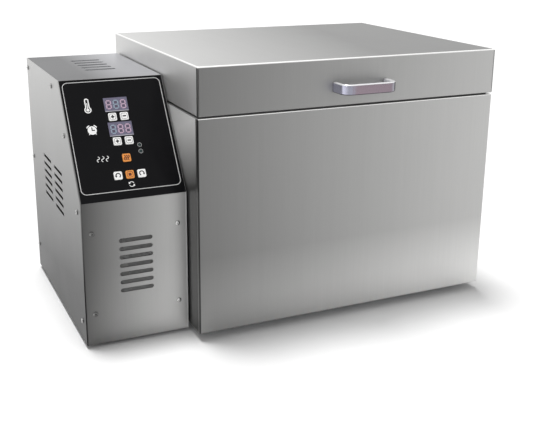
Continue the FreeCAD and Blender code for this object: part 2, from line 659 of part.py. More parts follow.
def build_well(nodes):
    """Well, its insulation, the heaters below the drum and the probe."""
    length = (-WELL_HALF, WELL_HALF)
    shell = trough(WELL_OUTER, DECK_UNDER, length)
    flange_height = (DECK_UNDER - WELL_SHEET, DECK_UNDER)
    flanges = [slab(length, y, flange_height) for y in both_sides(WELL_RADIUS, WELL_OUTER + WELL_FLANGE)]
    nodes["drum_well"] = joined([shell] + flanges).cut(trough(WELL_RADIUS, DECK_UNDER, length))
    nodes["well_end_left"] = well_end(-1)
    nodes["well_end_right"] = well_end(1)

    wool_top = DECK_UNDER - WELL_SHEET
    wrap = trough(WELL_OUTER + INSULATION, wool_top, length).cut(trough(WELL_OUTER, wool_top, length))
    left_wool = trough(WELL_OUTER, DECK_UNDER, (-END_OUTER - INSULATION, -END_OUTER))
    wool_face = -END_OUTER - INSULATION
    passages = [rod((wool_face, y, z), (-END_OUTER, y, z), FERRULE_RADIUS + FIT_GAP)
                for y, z in ferrule_places()]
    passages.append(rod((wool_face, 0, AXIS_Z), (-END_OUTER, 0, AXIS_Z), BUSH_RADIUS + FIT_GAP))
    passages += cradle_screw_tips(-1)
    right_wool = trough(WELL_OUTER, DECK_UNDER, (END_OUTER, END_OUTER + INSULATION))
    nodes["well_insulation"] = group([wrap, left_wool.cut(passages), right_wool.cut(cradle_screw_tips(1))])

    angles = heater_angles()
    nodes["tube_heaters"] = group([u_heater(*pair) for pair in zip(angles[::2], angles[1::2])])
    probe_at = about_axis(PROBE_ANGLE, HEATER_CIRCLE)
    legs = ferrule_places()[:-1]
    ferrules = [ferrule(y, z, HEATER_TUBE_RADIUS) for y, z in legs] + [ferrule(*probe_at, PROBE_RADIUS)]
    nodes["heater_ferrules"] = group(ferrules)
    nodes["heater_saddles"] = group([saddle(x) for x in (-SADDLE_PLACE, SADDLE_PLACE)])
    probe_tip = (PROBE_REACH - WELL_HALF, *probe_at)
    nodes["temperature_probe"] = rod((heater_start(), *probe_at), probe_tip, PROBE_RADIUS)


# ---------------------------------------------------------------- drum bearings and drive
def cradle_screw_places():
    """Y and Z of the four screws of one cradle."""
    column = CRADLE_HALF_WIDTH + CRADLE_FOOT / 2
    rows = (-CRADLE_BELOW / 2, CRADLE_ABOVE / 2)
    return [(side * column, AXIS_Z + row) for side in (-1, 1) for row in rows]


def cradle_screw_tips(side):
    """Cutters for the screw ends that reach into the insulation."""
    return [rod((side * END_OUTER, y, z), (side * (END_OUTER + SCREW_LENGTH), y, z), SCREW_HOLE)
            for y, z in cradle_screw_places()]


def cradle(side):
    """Folded bracket with an open-topped bearing notch for one journal of the drum."""
    height = (AXIS_Z - CRADLE_BELOW, AXIS_Z + CRADLE_ABOVE)
    face = WELL_HALF - CRADLE_STAND
    arm = both_sides(CRADLE_HALF_WIDTH - CRADLE_SHEET, CRADLE_HALF_WIDTH)
    foot_span = both_sides(CRADLE_HALF_WIDTH - CRADLE_SHEET, CRADLE_HALF_WIDTH + CRADLE_FOOT)

    def sided(low, high):
        return tuple(sorted((side * low, side * high)))

    plate = slab(sided(face - CRADLE_SHEET, face), (-CRADLE_HALF_WIDTH, CRADLE_HALF_WIDTH), height)
    arms = [slab(sided(face - CRADLE_SHEET, WELL_HALF), y, height) for y in arm]
    feet = [slab(sided(WELL_HALF - CRADLE_SHEET, WELL_HALF), y, height) for y in foot_span]
    bore = JOURNAL_RADIUS + RUNNING_GAP
    x = sided(face - CRADLE_SHEET, face)
    notch = [rod((x[0], 0, AXIS_Z), (x[1], 0, AXIS_Z), bore), slab(x, (-bore, bore), (AXIS_Z, height[1]))]
    holes = screw_holes([(side * WELL_HALF, y, z) for y, z in cradle_screw_places()], (side, 0, 0))
    return joined([plate] + arms + feet).cut(notch + holes)


def build_drive(nodes):
    """Cradles, bush, drive shaft with its coupling hub, motor and motor plate."""
    nodes["drum_cradles"] = group([cradle(-1), cradle(1)])
    bush = [(0, BUSH_RADIUS), (0, BUSH_FLANGE_RADIUS), (-BUSH_FLANGE, BUSH_FLANGE_RADIUS)]
    bore = SHAFT_RADIUS + RUNNING_GAP
    reach = WELL_SHEET + INSULATION
    outline = [(reach, bore), (reach, BUSH_RADIUS)] + bush + [(-BUSH_FLANGE, bore)]
    nodes["shaft_bush"] = lathe(outline, (-WELL_HALF, 0, AXIS_Z), (-1, 0, 0))

    plate_face = CONTROL_INNER - MOTOR_PLATE_STAND
    motor_face = plate_face - MOTOR_PLATE
    hub_start = -HEAD_FACE - JOURNAL_FLANGE - JOURNAL_LENGTH - HUB_END_GAP
    shaft_end = motor_face - SHAFT_IN_GEARBOX
    shaft = rod((shaft_end, 0, AXIS_Z), (hub_start - HUB_LENGTH, 0, AXIS_Z), SHAFT_RADIUS)
    hub = rod((hub_start - HUB_LENGTH, 0, AXIS_Z), (hub_start, 0, AXIS_Z), HUB_RADIUS)
    half_slot = TANG_WIDTH / 2 + HUB_SLOT_GAP
    slot = slab((hub_start - HUB_SLOT_DEPTH, hub_start), (-half_slot, half_slot),
                (AXIS_Z - HUB_RADIUS, AXIS_Z + HUB_RADIUS))
    nodes["drive_shaft"] = joined([shaft, hub]).cut(slot)

    square = (-MOTOR_PLATE_HALF, MOTOR_PLATE_HALF)
    height = (AXIS_Z - MOTOR_PLATE_HALF, AXIS_Z + MOTOR_PLATE_HALF)
    plate = slab((motor_face, plate_face), square, height)
    legs = [slab((motor_face, CONTROL_INNER), y, height)
            for y in both_sides(MOTOR_PLATE_HALF, MOTOR_PLATE_HALF + MOTOR_PLATE)]
    passage = rod((motor_face, 0, AXIS_Z), (plate_face, 0, AXIS_Z), BUSH_RADIUS)
    nodes["motor_bracket"] = joined([plate] + legs).cut(passage)

    gearbox = rod((motor_face - GEARBOX_LENGTH, 0, AXIS_Z), (motor_face, 0, AXIS_Z), GEARBOX_RADIUS)
    can_start = motor_face - GEARBOX_LENGTH - MOTOR_LENGTH
    can = rod((can_start, 0, AXIS_Z), (motor_face - GEARBOX_LENGTH, 0, AXIS_Z), MOTOR_RADIUS)
    socket = rod((shaft_end - FIT_GAP, 0, AXIS_Z), (motor_face, 0, AXIS_Z), bore)
    nodes["gear_motor"] = joined([gearbox, can]).cut(socket)


# ---------------------------------------------------------------- drum
def drum_end(side):
    """Dished head of the drum with a rim that fits inside the shell and a ring of vent slots."""
    rim = DRUM_RADIUS - DRUM_SHEET - DRUM_SEAT_GAP
    inner = rim - DRUM_END_SHEET
    outline = [(-DRUM_END_SHEET, 0), (-DRUM_END_SHEET, rim), (DRUM_END_RIM, rim), (DRUM_END_RIM, inner),
               (0, inner), (0, 0)]
    disc = lathe(outline, (0, 0, 0), (1, 0, 0))
    cutter = placed(obround(END_SLOT_LENGTH, END_SLOT_WIDTH, DRUM_END_SHEET * 2), (0, 0, 0), (0, 1, 0), 90)
    slots = []
    for index in range(END_SLOT_COUNT):
        slot = cutter.copy()
        slot.translate(Vector(0, 0, END_SLOT_RADIUS))
        slot.rotate(Vector(0, 0, 0), Vector(1, 0, 0), index * 360 / END_SLOT_COUNT)
        slots.append(slot)
    disc = disc.cut(slots)
    return placed(disc, (side * HEAD_FACE, 0, AXIS_Z), (0, 0, 1), 0 if side > 0 else 180)


def vane(angle):
    """Lifting vane: a radial plate with a bent tip that winds along the inside of the shell."""
    root = DRUM_RADIUS - DRUM_SHEET - DRUM_SEAT_GAP
    tip = root - VANE_HEIGHT
    half = VANE_SHEET / 2
    outline = [(-half, root), (-half, tip), (VANE_TIP, tip), (VANE_TIP, tip + VANE_SHEET),
               (half, tip + VANE_SHEET), (half, root)]
    reach = HEAD_FACE - DRUM_END_SHEET - VANE_END_GAP
    sections = []
    for station in range(VANE_STATIONS):
        along = station / (VANE_STATIONS - 1) - 0.5
        section = Part.makePolygon([Vector(2 * reach * along, y, z) for y, z in outline + outline[:1]])
        section.rotate(Vector(0, 0, 0), Vector(1, 0, 0), angle + VANE_TWIST * along)
        section.translate(Vector(0, 0, AXIS_Z))
        sections.append(section)
    return Part.makeLoft(sections, True)


def rail(side):
    """Curved rail with a lip over one edge of the sliding door, and a stop at each end."""
    start = -DOOR_HALF_ANGLE - RAIL_END_ANGLE
    end = DOOR_HALF_ANGLE + DOOR_TRAVEL_ANGLE + RAIL_END_ANGLE
    web = DOOR_LENGTH / 2 + RAIL_SIDE_GAP
    seat = DRUM_RADIUS + DRUM_SEAT_GAP
    lip_under = DRUM_RADIUS + DOOR_GAP + DOOR_SHEET + DOOR_GAP
    top = lip_under + RAIL_SHEET

    def sided(low, high):
        return tuple(sorted((side * low, side * high)))

    pieces = [ring_piece(sided(web, web + RAIL_FOOT), seat, seat + RAIL_SHEET, start, end),
              ring_piece(sided(web, web + RAIL_SHEET), seat, top, start, end),
              ring_piece(sided(web + RAIL_SHEET - RAIL_LIP, web + RAIL_SHEET), lip_under, top, start, end)]
    return joined(pieces)


def journal(side):
    """Journal on its flange; the left one ends in the tang that the drive hub turns."""
    far = JOURNAL_FLANGE + JOURNAL_LENGTH
    outline = [(0, 0), (0, JOURNAL_FLANGE_RADIUS), (JOURNAL_FLANGE, JOURNAL_FLANGE_RADIUS),
               (JOURNAL_FLANGE, JOURNAL_RADIUS), (far, JOURNAL_RADIUS), (far, 0)]
    turned = lathe(outline, (side * HEAD_FACE, 0, AXIS_Z), (side, 0, 0))
    if side > 0:
        return turned
    left = -HEAD_FACE - far
    flat = slab((left - TANG_LENGTH, left), (-TANG_WIDTH / 2, TANG_WIDTH / 2),
                (AXIS_Z - JOURNAL_RADIUS, AXIS_Z + JOURNAL_RADIUS))
    stub = rod((left - TANG_LENGTH, 0, AXIS_Z), (left, 0, AXIS_Z), JOURNAL_RADIUS)
    return joined([turned, flat.common(stub)])


def build_drum(nodes):
    """Drum shell with its doorway, ends, vanes, rails and journals, and the sliding door."""
    ends = ((-DRUM_HALF, 0, AXIS_Z), (DRUM_HALF, 0, AXIS_Z))
    shell = pipe(*ends, DRUM_RADIUS, DRUM_RADIUS - DRUM_SHEET)
    doorway = ring_piece((-DOORWAY_LENGTH / 2, DOORWAY_LENGTH / 2), DRUM_RADIUS - 2 * DRUM_SHEET,
                         DRUM_RADIUS + DRUM_SHEET, -DOORWAY_HALF_ANGLE, DOORWAY_HALF_ANGLE)
    nodes["drum_shell"] = shell.cut(doorway)
    nodes["drum_ends"] = group([drum_end(-1), drum_end(1)])
    step = 360 / VANE_COUNT
    nodes["drum_vanes"] = group([vane(step / 2 + index * step) for index in range(VANE_COUNT)])
    nodes["door_rails"] = group([rail(-1), rail(1)])
    nodes["drum_journals"] = group([journal(-1), journal(1)])

    inner = DRUM_RADIUS + DOOR_GAP
    half = DOOR_LENGTH / 2
    outer = inner + DOOR_SHEET
    nodes["drum_door"] = ring_piece((-half, half), inner, outer, -DOOR_HALF_ANGLE, DOOR_HALF_ANGLE)
    foot_z = AXIS_Z + outer
    bar_z = foot_z + PULL_RISE
    reach = PULL_WIDTH / 2
    path = [(-reach, 0, foot_z), (-reach, 0, bar_z), (reach, 0, bar_z), (reach, 0, foot_z)]
    nodes["door_pull"] = bent_bar(path, PULL_BEND, round_section(path[0], (0, 0, 1), PULL_RADIUS))


# ---------------------------------------------------------------- lid
def build_lid(nodes):
    """Lid skin, inner pan, insulation, handle and hinge leaves."""
    x, y = (-HALF_WIDTH, HALF_WIDTH), (-HALF_DEPTH, HALF_DEPTH)
    block = softened(slab(x, y, (LID_BOTTOM, LID_TOP)), BEND_RADIUS,
                     lambda middle: min(middle.z - LID_BOTTOM, LID_TOP - middle.z) < BEND_RADIUS)
    hollow = slab((x[0] + SHEET, x[1] - SHEET), (y[0] + SHEET, y[1] - SHEET),
                  (LID_BOTTOM + SHEET, LID_TOP - SHEET))
    rim = HALF_WIDTH - LID_FLANGE, HALF_DEPTH - LID_FLANGE
    mouth = slab((-rim[0], rim[0]), (-rim[1], rim[1]), (LID_BOTTOM, LID_BOTTOM + SHEET))
    legs = [HANDLE_SHIFT + offset for offset in spread(2, HANDLE_SPAN)]
    handle_places = [(leg, SHEET - HALF_DEPTH, HANDLE_Z) for leg in legs]
    hinge_places = hinge_screw_places(1, HALF_DEPTH)
    holes = screw_holes(handle_places, (0, 1, 0)) + screw_holes(hinge_places, (0, 1, 0))
    seam_x = (HALF_WIDTH - SHEET - CORNER_SEAM, HALF_WIDTH - SHEET)
    seams = [slab(span, (front, front + SHEET), (LID_BOTTOM, LID_TOP - BEND_RADIUS))
             for span in both_sides(*seam_x) for front in (-HALF_DEPTH, HALF_DEPTH - SHEET)]
    nodes["lid_skin"] = block.cut([hollow, mouth] + seams + holes)

    seat = LID_BOTTOM + SHEET
    cavity = HALF_WIDTH - PAN_INSET, HALF_DEPTH - PAN_INSET
    wall = cavity[0] + THIN_SHEET, cavity[1] + THIN_SHEET
    lip = slab((-cavity[0] - PAN_LIP, cavity[0] + PAN_LIP), (-cavity[1] - PAN_LIP, cavity[1] + PAN_LIP),
               (seat, seat + THIN_SHEET))
    pan = slab((-wall[0], wall[0]), (-wall[1], wall[1]), (seat, PAN_TOP + THIN_SHEET))
    inside = slab((-cavity[0], cavity[0]), (-cavity[1], cavity[1]), (seat, PAN_TOP))
    nodes["lid_pan"] = joined([lip, pan]).cut(inside)
    nodes["lid_insulation"] = slab((-wall[0], wall[0]), (-wall[1], wall[1]),
                                   (PAN_TOP + THIN_SHEET, LID_TOP - SHEET))

    front = -HALF_DEPTH
    bar_y = front - HANDLE_REACH + HANDLE_THICKNESS / 2
    path = [(legs[0], front, HANDLE_Z), (legs[0], bar_y, HANDLE_Z), (legs[1], bar_y, HANDLE_Z),
            (legs[1], front, HANDLE_Z)]
    profile = rounded_block((HANDLE_THICKNESS, HANDLE_HEIGHT), HANDLE_CORNER, (0, HANDLE_REACH))
    section = next(face for face in profile.Faces if face.CenterOfMass.z < HANDLE_CORNER / 2).OuterWire
    section = placed(section, path[0], (1, 0, 0), 90)
    bow = bent_bar(path, HANDLE_BEND, section)
    taps = [rod((leg, front, HANDLE_Z), (leg, front - SCREW_LENGTH, HANDLE_Z), SCREW_RADIUS) for leg in legs]
    nodes["lid_handle"] = bow.cut(taps)
    screws = [screw(place, (0, 1, 0)) for place in handle_places]
    screws += [screw((a, b + HINGE_LEAF, c), (0, 1, 0)) for a, b, c in hinge_places]
    nodes["lid_screws"] = group(screws)


def hinge_leaf(direction, segments):
    """Both leaves above (1) or below (-1) the pins, with the knuckles on the given spans of the width."""
    leaves = []
    back = HALF_DEPTH
    for middle in spread(2, HINGE_SPACING):
        def height(low, high):
            return tuple(sorted((PIVOT_Z + direction * low, PIVOT_Z + direction * high)))

        full = (middle - HINGE_WIDTH / 2, middle + HINGE_WIDTH / 2)
        pieces = [slab(full, (back, back + HINGE_LEAF), height(KNUCKLE_RADIUS, HINGE_LEAF_HEIGHT))]
        for low, high in segments:
            x = (middle + low, middle + high)
            foot = KNUCKLE_RADIUS - HINGE_LEAF
            pieces.append(slab(x, (back, back + HINGE_LEAF), height(foot, HINGE_LEAF_HEIGHT)))
            pieces.append(slab(x, (back, PIVOT_Y), height(foot, KNUCKLE_RADIUS)))
            pieces.append(rod((x[0], PIVOT_Y, PIVOT_Z), (x[1], PIVOT_Y, PIVOT_Z), KNUCKLE_RADIUS))
        bore = PIN_RADIUS + (RUNNING_GAP if direction > 0 else 0)
        hole = rod((full[0], PIVOT_Y, PIVOT_Z), (full[1], PIVOT_Y, PIVOT_Z), bore)
        leaves.append(joined(pieces).cut(hole))
    places = hinge_screw_places(direction, back)
    return group([leaf.cut(screw_holes(places, (0, 1, 0))) for leaf in leaves])


def build_hinges(nodes):
    """Two butt hinges behind the seam, each with a pin held by the body's leaf."""
    edge, step = HINGE_WIDTH / 2, HINGE_WIDTH / 4
    outer = ((-edge, -step - KNUCKLE_GAP), (step + KNUCKLE_GAP, edge))
    nodes["hinge_body_leaves"] = hinge_leaf(-1, outer)
    nodes["hinge_lid_leaves"] = hinge_leaf(1, ((-step, step),))
    pins = []
    for middle in spread(2, HINGE_SPACING):
        left, right = (middle - edge, PIVOT_Y, PIVOT_Z), (middle + edge, PIVOT_Y, PIVOT_Z)
        heads = [rod((left[0] - PIN_HEAD, PIVOT_Y, PIVOT_Z), left, PIN_HEAD_RADIUS),
                 rod(right, (right[0] + PIN_HEAD, PIVOT_Y, PIVOT_Z), PIN_HEAD_RADIUS)]
        pins.append(joined([rod(left, right, PIN_RADIUS)] + heads))
    nodes["hinge_pins"] = group(pins)


# ---------------------------------------------------------------- control box
def control_outline(front=0.0, rest=0.0):
    """Y, Z outline of the control box, moved inwards by front on its front and slope, by rest elsewhere."""
    lean = PANEL_RISE / PANEL_LENGTH
    level = PANEL_RUN / PANEL_LENGTH
    start_y, start_z = CONTROL_FRONT + front * lean, PANEL_FOOT - front * level

    def slope_z(y):
        return start_z + (y - start_y) * PANEL_RISE / PANEL_RUN

    face = CONTROL_FRONT + front
    top = CONTROL_TOP - rest
    crest = start_y + (top - start_z) * PANEL_RUN / PANEL_RISE
    bottom = CONTROL_BOTTOM + rest
    rear = CONTROL_REAR - rest
    return [(face, bottom), (face, slope_z(face)), (crest, top), (rear, top), (rear, bottom)]


def on_panel(shape):
    """Move a shape from flat panel coordinates (X right, Y up the slope, Z outwards) to the sloped panel."""
    copy = shape.copy()
    copy.Placement = PANEL_PLACE.multiply(copy.Placement)
    return copy


def cover_screw_places():
    """Screws of the control box's left cover."""
    front, rear = CONTROL_FRONT + COVER_SCREW_FRONT, CONTROL_REAR - COVER_SCREW_REAR
    crest = CONTROL_FRONT + PANEL_RUN
    places = [(crest + COVER_SCREW_CREST, CONTROL_TOP - COVER_SCREW_TOP),
              (rear, CONTROL_TOP - COVER_SCREW_TOP),
              (crest - COVER_SCREW_SLOPE[0], CONTROL_TOP - COVER_SCREW_SLOPE[1]),
              (front, PANEL_FOOT - COVER_SCREW_BEND),
              (front, CONTROL_BOTTOM + COVER_SCREW_LOW[0]),
              (rear, CONTROL_TOP - COVER_SCREW_MIDDLE),
              (rear, CONTROL_BOTTOM + COVER_SCREW_LOW[1])]
    return [(CONTROL_LEFT, y, z) for y, z in places]


def front_screw_places():
    """Screws of the control box's front panel."""
    columns = (CONTROL_LEFT + FRONT_SCREW_INSET, CONTROL_RIGHT - FRONT_SCREW_INSET)
    rows = (CONTROL_BOTTOM + FRONT_SCREW_RISE, PANEL_FOOT - FRONT_SCREW_DROP)
    return [(x, CONTROL_FRONT, z) for x in columns for z in rows]


def front_slots():
    """Cutters of the horizontal vents in the front panel."""
    cutter = obround(FRONT_SLOT_LENGTH, FRONT_SLOT_WIDTH, 2 * SHEET)
    rows = [PANEL_FOOT - FRONT_SLOT_DROP - index * FRONT_SLOT_PITCH for index in range(FRONT_SLOT_COUNT)]
    middle = CONTROL_LEFT + CONTROL_WIDTH / 2
    return [placed(cutter, (middle, CONTROL_FRONT, row), (1, 0, 0), 90) for row in rows]


def side_slots():
    """Cutters of the two columns of vents in the left cover."""
    cutter = placed(obround(SIDE_SLOT_LENGTH, SIDE_SLOT_WIDTH, 2 * SHEET), (0, 0, 0), (1, 0, 0), 90)
    rows = [CONTROL_TOP - SIDE_SLOT_DROP - index * SIDE_SLOT_PITCH for index in range(SIDE_SLOT_COUNT)]
    return [placed(cutter, (CONTROL_LEFT, CONTROL_FRONT + column, row), (0, 0, 1), 90)
            for column in SIDE_SLOT_COLUMNS for row in rows]


def top_slots():
    """Cutters of the vents in the control box's top."""
    cutter = obround(TOP_SLOT_LENGTH, TOP_SLOT_WIDTH, 2 * SHEET)
    start = CONTROL_FRONT + PANEL_RUN + TOP_SLOT_START
    return [placed(cutter, (CONTROL_LEFT + TOP_SLOT_MIDDLE, start + index * TOP_SLOT_PITCH, CONTROL_TOP))
            for index in range(TOP_SLOT_COUNT)]


def key_places():
    """Place of each key's middle on the panel."""
    return {name: (PANEL_COLUMN + column * KEY_PITCH, PANEL_LENGTH - row)
            for name, (column, row) in KEYS.items()}


def display_places():
    """Places of the middles of the displays on the panel."""
    return [(PANEL_COLUMN, PANEL_LENGTH - row) for row in DISPLAY_ROWS]


def lamp_places():
    """Places of the lamps on the panel."""
    return [(LAMP_COLUMN, PANEL_LENGTH - row) for row in LAMP_ROWS]


def panel_openings(depth):
    """Cutters in panel coordinates for keys, displays and lamps."""
    reach = (-depth, OVERLAY * 2)
    key = rounded_block((KEY_SIZE + 2 * KEY_GAP, KEY_SIZE + 2 * KEY_GAP), KEY_CORNER, reach)
    window = rounded_block((DISPLAY_WIDTH + 2 * KEY_GAP, DISPLAY_HEIGHT + 2 * KEY_GAP), KEY_GAP, reach)
    cuts = [placed(key, (u, v, 0)) for u, v in key_places().values()]
    cuts += [placed(window, (u, v, 0)) for u, v in display_places()]
    cuts += [rod((u, v, reach[0]), (u, v, reach[1]), LAMP_RADIUS + KEY_GAP) for u, v in lamp_places()]
    return cuts


def build_control_box(nodes):
    """Shell, left cover, front panel, spacers, gland and screws of the control box."""
    body_x = (CONTROL_LEFT + SHEET, CONTROL_RIGHT)
    inner_x = (CONTROL_LEFT + 2 * SHEET, CONTROL_INNER)
    shell = prism(control_outline(SHEET, 0), body_x)
    hollow = prism(control_outline(2 * SHEET, SHEET), inner_x)
    side_mouth = prism(control_outline(CONTROL_FLANGE + SHEET, CONTROL_FLANGE), (body_x[0], inner_x[0]))
    mouth_x = (CONTROL_LEFT + CONTROL_FLANGE, CONTROL_RIGHT - CONTROL_FLANGE)
    front_mouth = prism(control_outline(0, CONTROL_FLANGE), mouth_x)
    behind = prism(control_outline(2 * SHEET, 0), mouth_x)
    through = SCREW_LENGTH
    cuts = service_holes((CONTROL_RIGHT - through, CONTROL_RIGHT + through))
    cuts += spacer_holes((CONTROL_RIGHT - through, CONTROL_RIGHT + through))
    cuts += screw_holes(cover_screw_places(), (-1, 0, 0)) + screw_holes(front_screw_places(), (0, -1, 0))
    cuts += top_slots()
    gland_at = (CONTROL_LEFT + GLAND_PLACE, CONTROL_REAR, GLAND_HEIGHT)
    inward = (gland_at[0], CONTROL_REAR - SHEET, GLAND_HEIGHT)
    cuts.append(rod(inward, gland_at, GLAND_THREAD_RADIUS + KEY_GAP))
    shell = shell.cut([hollow, side_mouth, front_mouth.cut(behind)])
    nodes["control_shell"] = shell.cut(cuts)

    cover = softened(prism(control_outline(), (CONTROL_LEFT, CONTROL_LEFT + SHEET)), EDGE_RADIUS,
                     lambda middle: middle.x < CONTROL_LEFT + EDGE_RADIUS / 2)
    nodes["control_cover"] = cover.cut(side_slots() + screw_holes(cover_screw_places(), (-1, 0, 0)))

    front_x = (CONTROL_LEFT + SHEET + COVER_SEAM, CONTROL_RIGHT)
    front = prism(control_outline(), front_x).cut(prism(control_outline(SHEET, 0), front_x))
    openings = [on_panel(cutter) for cutter in panel_openings(2 * SHEET)]
    openings += front_slots() + screw_holes(front_screw_places(), (0, -1, 0))
    nodes["control_front"] = front.cut(openings)

    screws = [screw(place, (-1, 0, 0)) for place in cover_screw_places()]
    screws += [screw(place, (0, -1, 0)) for place in front_screw_places()]
    screws += [screw((CONTROL_INNER, y, z), (-1, 0, 0)) for y, z in spacer_places()]
    nodes["control_screws"] = group(screws)
    nodes["heat_spacers"] = group([pipe((CONTROL_RIGHT, y, z), (-HALF_WIDTH, y, z), SPACER_RADIUS, SCREW_HOLE)
                                   for y, z in spacer_places()])

    nut = -SHEET - GLAND_NUT
    outline = [(nut, GLAND_BORE), (nut, GLAND_RADIUS), (-SHEET, GLAND_RADIUS), (-SHEET, GLAND_THREAD_RADIUS),
               (0, GLAND_THREAD_RADIUS), (0, GLAND_RADIUS), (GLAND_REACH / 2, GLAND_RADIUS),
               (GLAND_REACH, GLAND_NOSE_RADIUS), (GLAND_REACH, GLAND_BORE)]
    nodes["cable_gland"] = lathe(outline, gland_at, (0, 1, 0))

    floor = CONTROL_BOTTOM + SHEET
    corners = {"heater_relay": (CONTROL_LEFT + RELAY_PLACE[0], CONTROL_FRONT + RELAY_PLACE[1]),
               "terminal_block": (CONTROL_LEFT + TERMINAL_PLACE[0], CONTROL_REAR - TERMINAL_PLACE[1])}
    sizes = {"heater_relay": RELAY_SIZE, "terminal_block": TERMINAL_SIZE}
    for name, (x, y) in corners.items():
        width, depth, height = sizes[name]
        nodes[name] = slab((x, x + width), (y, y + depth), (floor, floor + height))


# ---------------------------------------------------------------- operating panel
def build_panel(nodes):
    """Overlay, displays, lamps, keys, circuit board, standoffs and switches on the sloped panel."""
    x = (SHEET + COVER_SEAM + OVERLAY_MARGIN, CONTROL_WIDTH - OVERLAY_MARGIN)
    sheet = slab(x, (OVERLAY_MARGIN, PANEL_LENGTH - OVERLAY_MARGIN), (0, OVERLAY))
    nodes["panel_overlay"] = on_panel(sheet.cut(panel_openings(2 * SHEET)))

    face = OVERLAY - DISPLAY_SUNK
    display = rounded_block((DISPLAY_WIDTH, DISPLAY_HEIGHT), KEY_GAP, (face - DISPLAY_DEPTH, face))
    nodes["panel_displays"] = group([on_panel(placed(display, (u, v, 0))) for u, v in display_places()])
    lamp = [(-LAMP_DEPTH, 0), (-LAMP_DEPTH, LAMP_RADIUS), (OVERLAY / 2, LAMP_RADIUS),
            (OVERLAY, LAMP_CROWN_RADIUS), (OVERLAY, 0)]
    nodes["panel_lamps"] = group([on_panel(lathe(lamp, (u, v, 0), (0, 0, 1))) for u, v in lamp_places()])

    key_top = OVERLAY + KEY_PROUD
    cap = rounded_block((KEY_SIZE, KEY_SIZE), KEY_CORNER, (key_top - KEY_DEPTH, key_top))
    cap = softened(cap, KEY_GAP, lambda middle: middle.z > key_top - KEY_GAP)
    for name, (u, v) in key_places().items():
        nodes[name] = on_panel(placed(cap, (u, v, 0)))

    board_face = -BOARD_DEPTH
    left = PANEL_COLUMN - BOARD_WIDTH / 2
    top = PANEL_LENGTH - BOARD_TOP
    board_x, board_y = (left, left + BOARD_WIDTH), (top - BOARD_HEIGHT, top)
    nodes["control_board"] = on_panel(slab(board_x, board_y, (board_face - BOARD_SHEET, board_face)))
    columns = (board_x[0] + STANDOFF_INSET, board_x[1] - STANDOFF_INSET)
    rows = (board_y[0] + STANDOFF_INSET, board_y[1] - STANDOFF_INSET)
    nodes["board_standoffs"] = group([on_panel(rod((u, v, board_face), (u, v, -SHEET), STANDOFF_RADIUS))
                                      for u in columns for v in rows])
    switch_top = key_top - KEY_DEPTH - KEY_TRAVEL - SWITCH_PLAY
    half = SWITCH_SIZE / 2
    depth = (board_face, switch_top)
    nodes["key_switches"] = group([on_panel(slab((u - half, u + half), (v - half, v + half), depth))
                                   for u, v in key_places().values()])


# ---------------------------------------------------------------- export
def build():
    """All pieces of the roaster by name."""
    nodes = {}
    steps = (build_casing, build_well, build_drive, build_drum, build_lid, build_hinges, build_control_box,
             build_panel)
    for step in steps:
        step(nodes)
    return nodes


def export(nodes):
    """Write each piece to its own file, with the origin under the middle of the roaster."""
    os.makedirs("parts", exist_ok=True)
    for name, shape in nodes.items():
        moved = shape.copy()
        moved.translate(ORIGIN_SHIFT)
        moved.exportStep("parts/" + name + ".step")


export(build())
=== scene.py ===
"""Looks of a countertop drum roaster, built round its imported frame.

Lengths are in metres in the row frame, +X to the right, +Y to the back, +Z up, and in millimetres on the key panel.
Each sub-assembly is a class that holds its sizes, builds the meshes that the frame lacks and dresses the frame's own
nodes.
"""
from __future__ import annotations

import json
import logging
import math
from dataclasses import dataclass
from enum import Enum
from functools import lru_cache
from typing import Sequence

import bmesh
import bpy
import numpy as np
from mathutils import Matrix, Vector

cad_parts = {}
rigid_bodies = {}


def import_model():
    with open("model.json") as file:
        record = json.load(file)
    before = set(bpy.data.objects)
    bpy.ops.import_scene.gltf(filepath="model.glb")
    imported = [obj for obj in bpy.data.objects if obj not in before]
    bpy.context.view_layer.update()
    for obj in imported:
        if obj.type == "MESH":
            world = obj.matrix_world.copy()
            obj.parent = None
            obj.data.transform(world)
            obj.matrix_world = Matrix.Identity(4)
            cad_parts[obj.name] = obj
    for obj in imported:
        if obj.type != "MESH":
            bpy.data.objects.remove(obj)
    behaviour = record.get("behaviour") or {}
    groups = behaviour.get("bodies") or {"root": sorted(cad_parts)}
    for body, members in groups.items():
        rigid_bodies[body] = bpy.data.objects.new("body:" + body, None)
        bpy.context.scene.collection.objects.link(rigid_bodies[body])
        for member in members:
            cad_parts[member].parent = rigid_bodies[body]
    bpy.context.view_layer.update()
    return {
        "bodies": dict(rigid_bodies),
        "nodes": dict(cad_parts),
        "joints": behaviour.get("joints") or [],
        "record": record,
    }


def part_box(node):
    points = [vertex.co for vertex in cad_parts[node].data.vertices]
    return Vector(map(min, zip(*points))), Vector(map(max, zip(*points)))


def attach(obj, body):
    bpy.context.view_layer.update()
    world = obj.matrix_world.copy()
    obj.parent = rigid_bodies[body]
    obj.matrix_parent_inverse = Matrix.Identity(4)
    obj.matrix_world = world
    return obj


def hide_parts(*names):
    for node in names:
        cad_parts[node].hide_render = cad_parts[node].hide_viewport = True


LOG = logging.getLogger("roaster")
MM = 0.001
Point = tuple[float, float]
Scales = tuple[float, float, float]
Colour = tuple[float, float, float]
UNSTRETCHED = (1.0, 1.0, 1.0)
FRAME: dict = {}


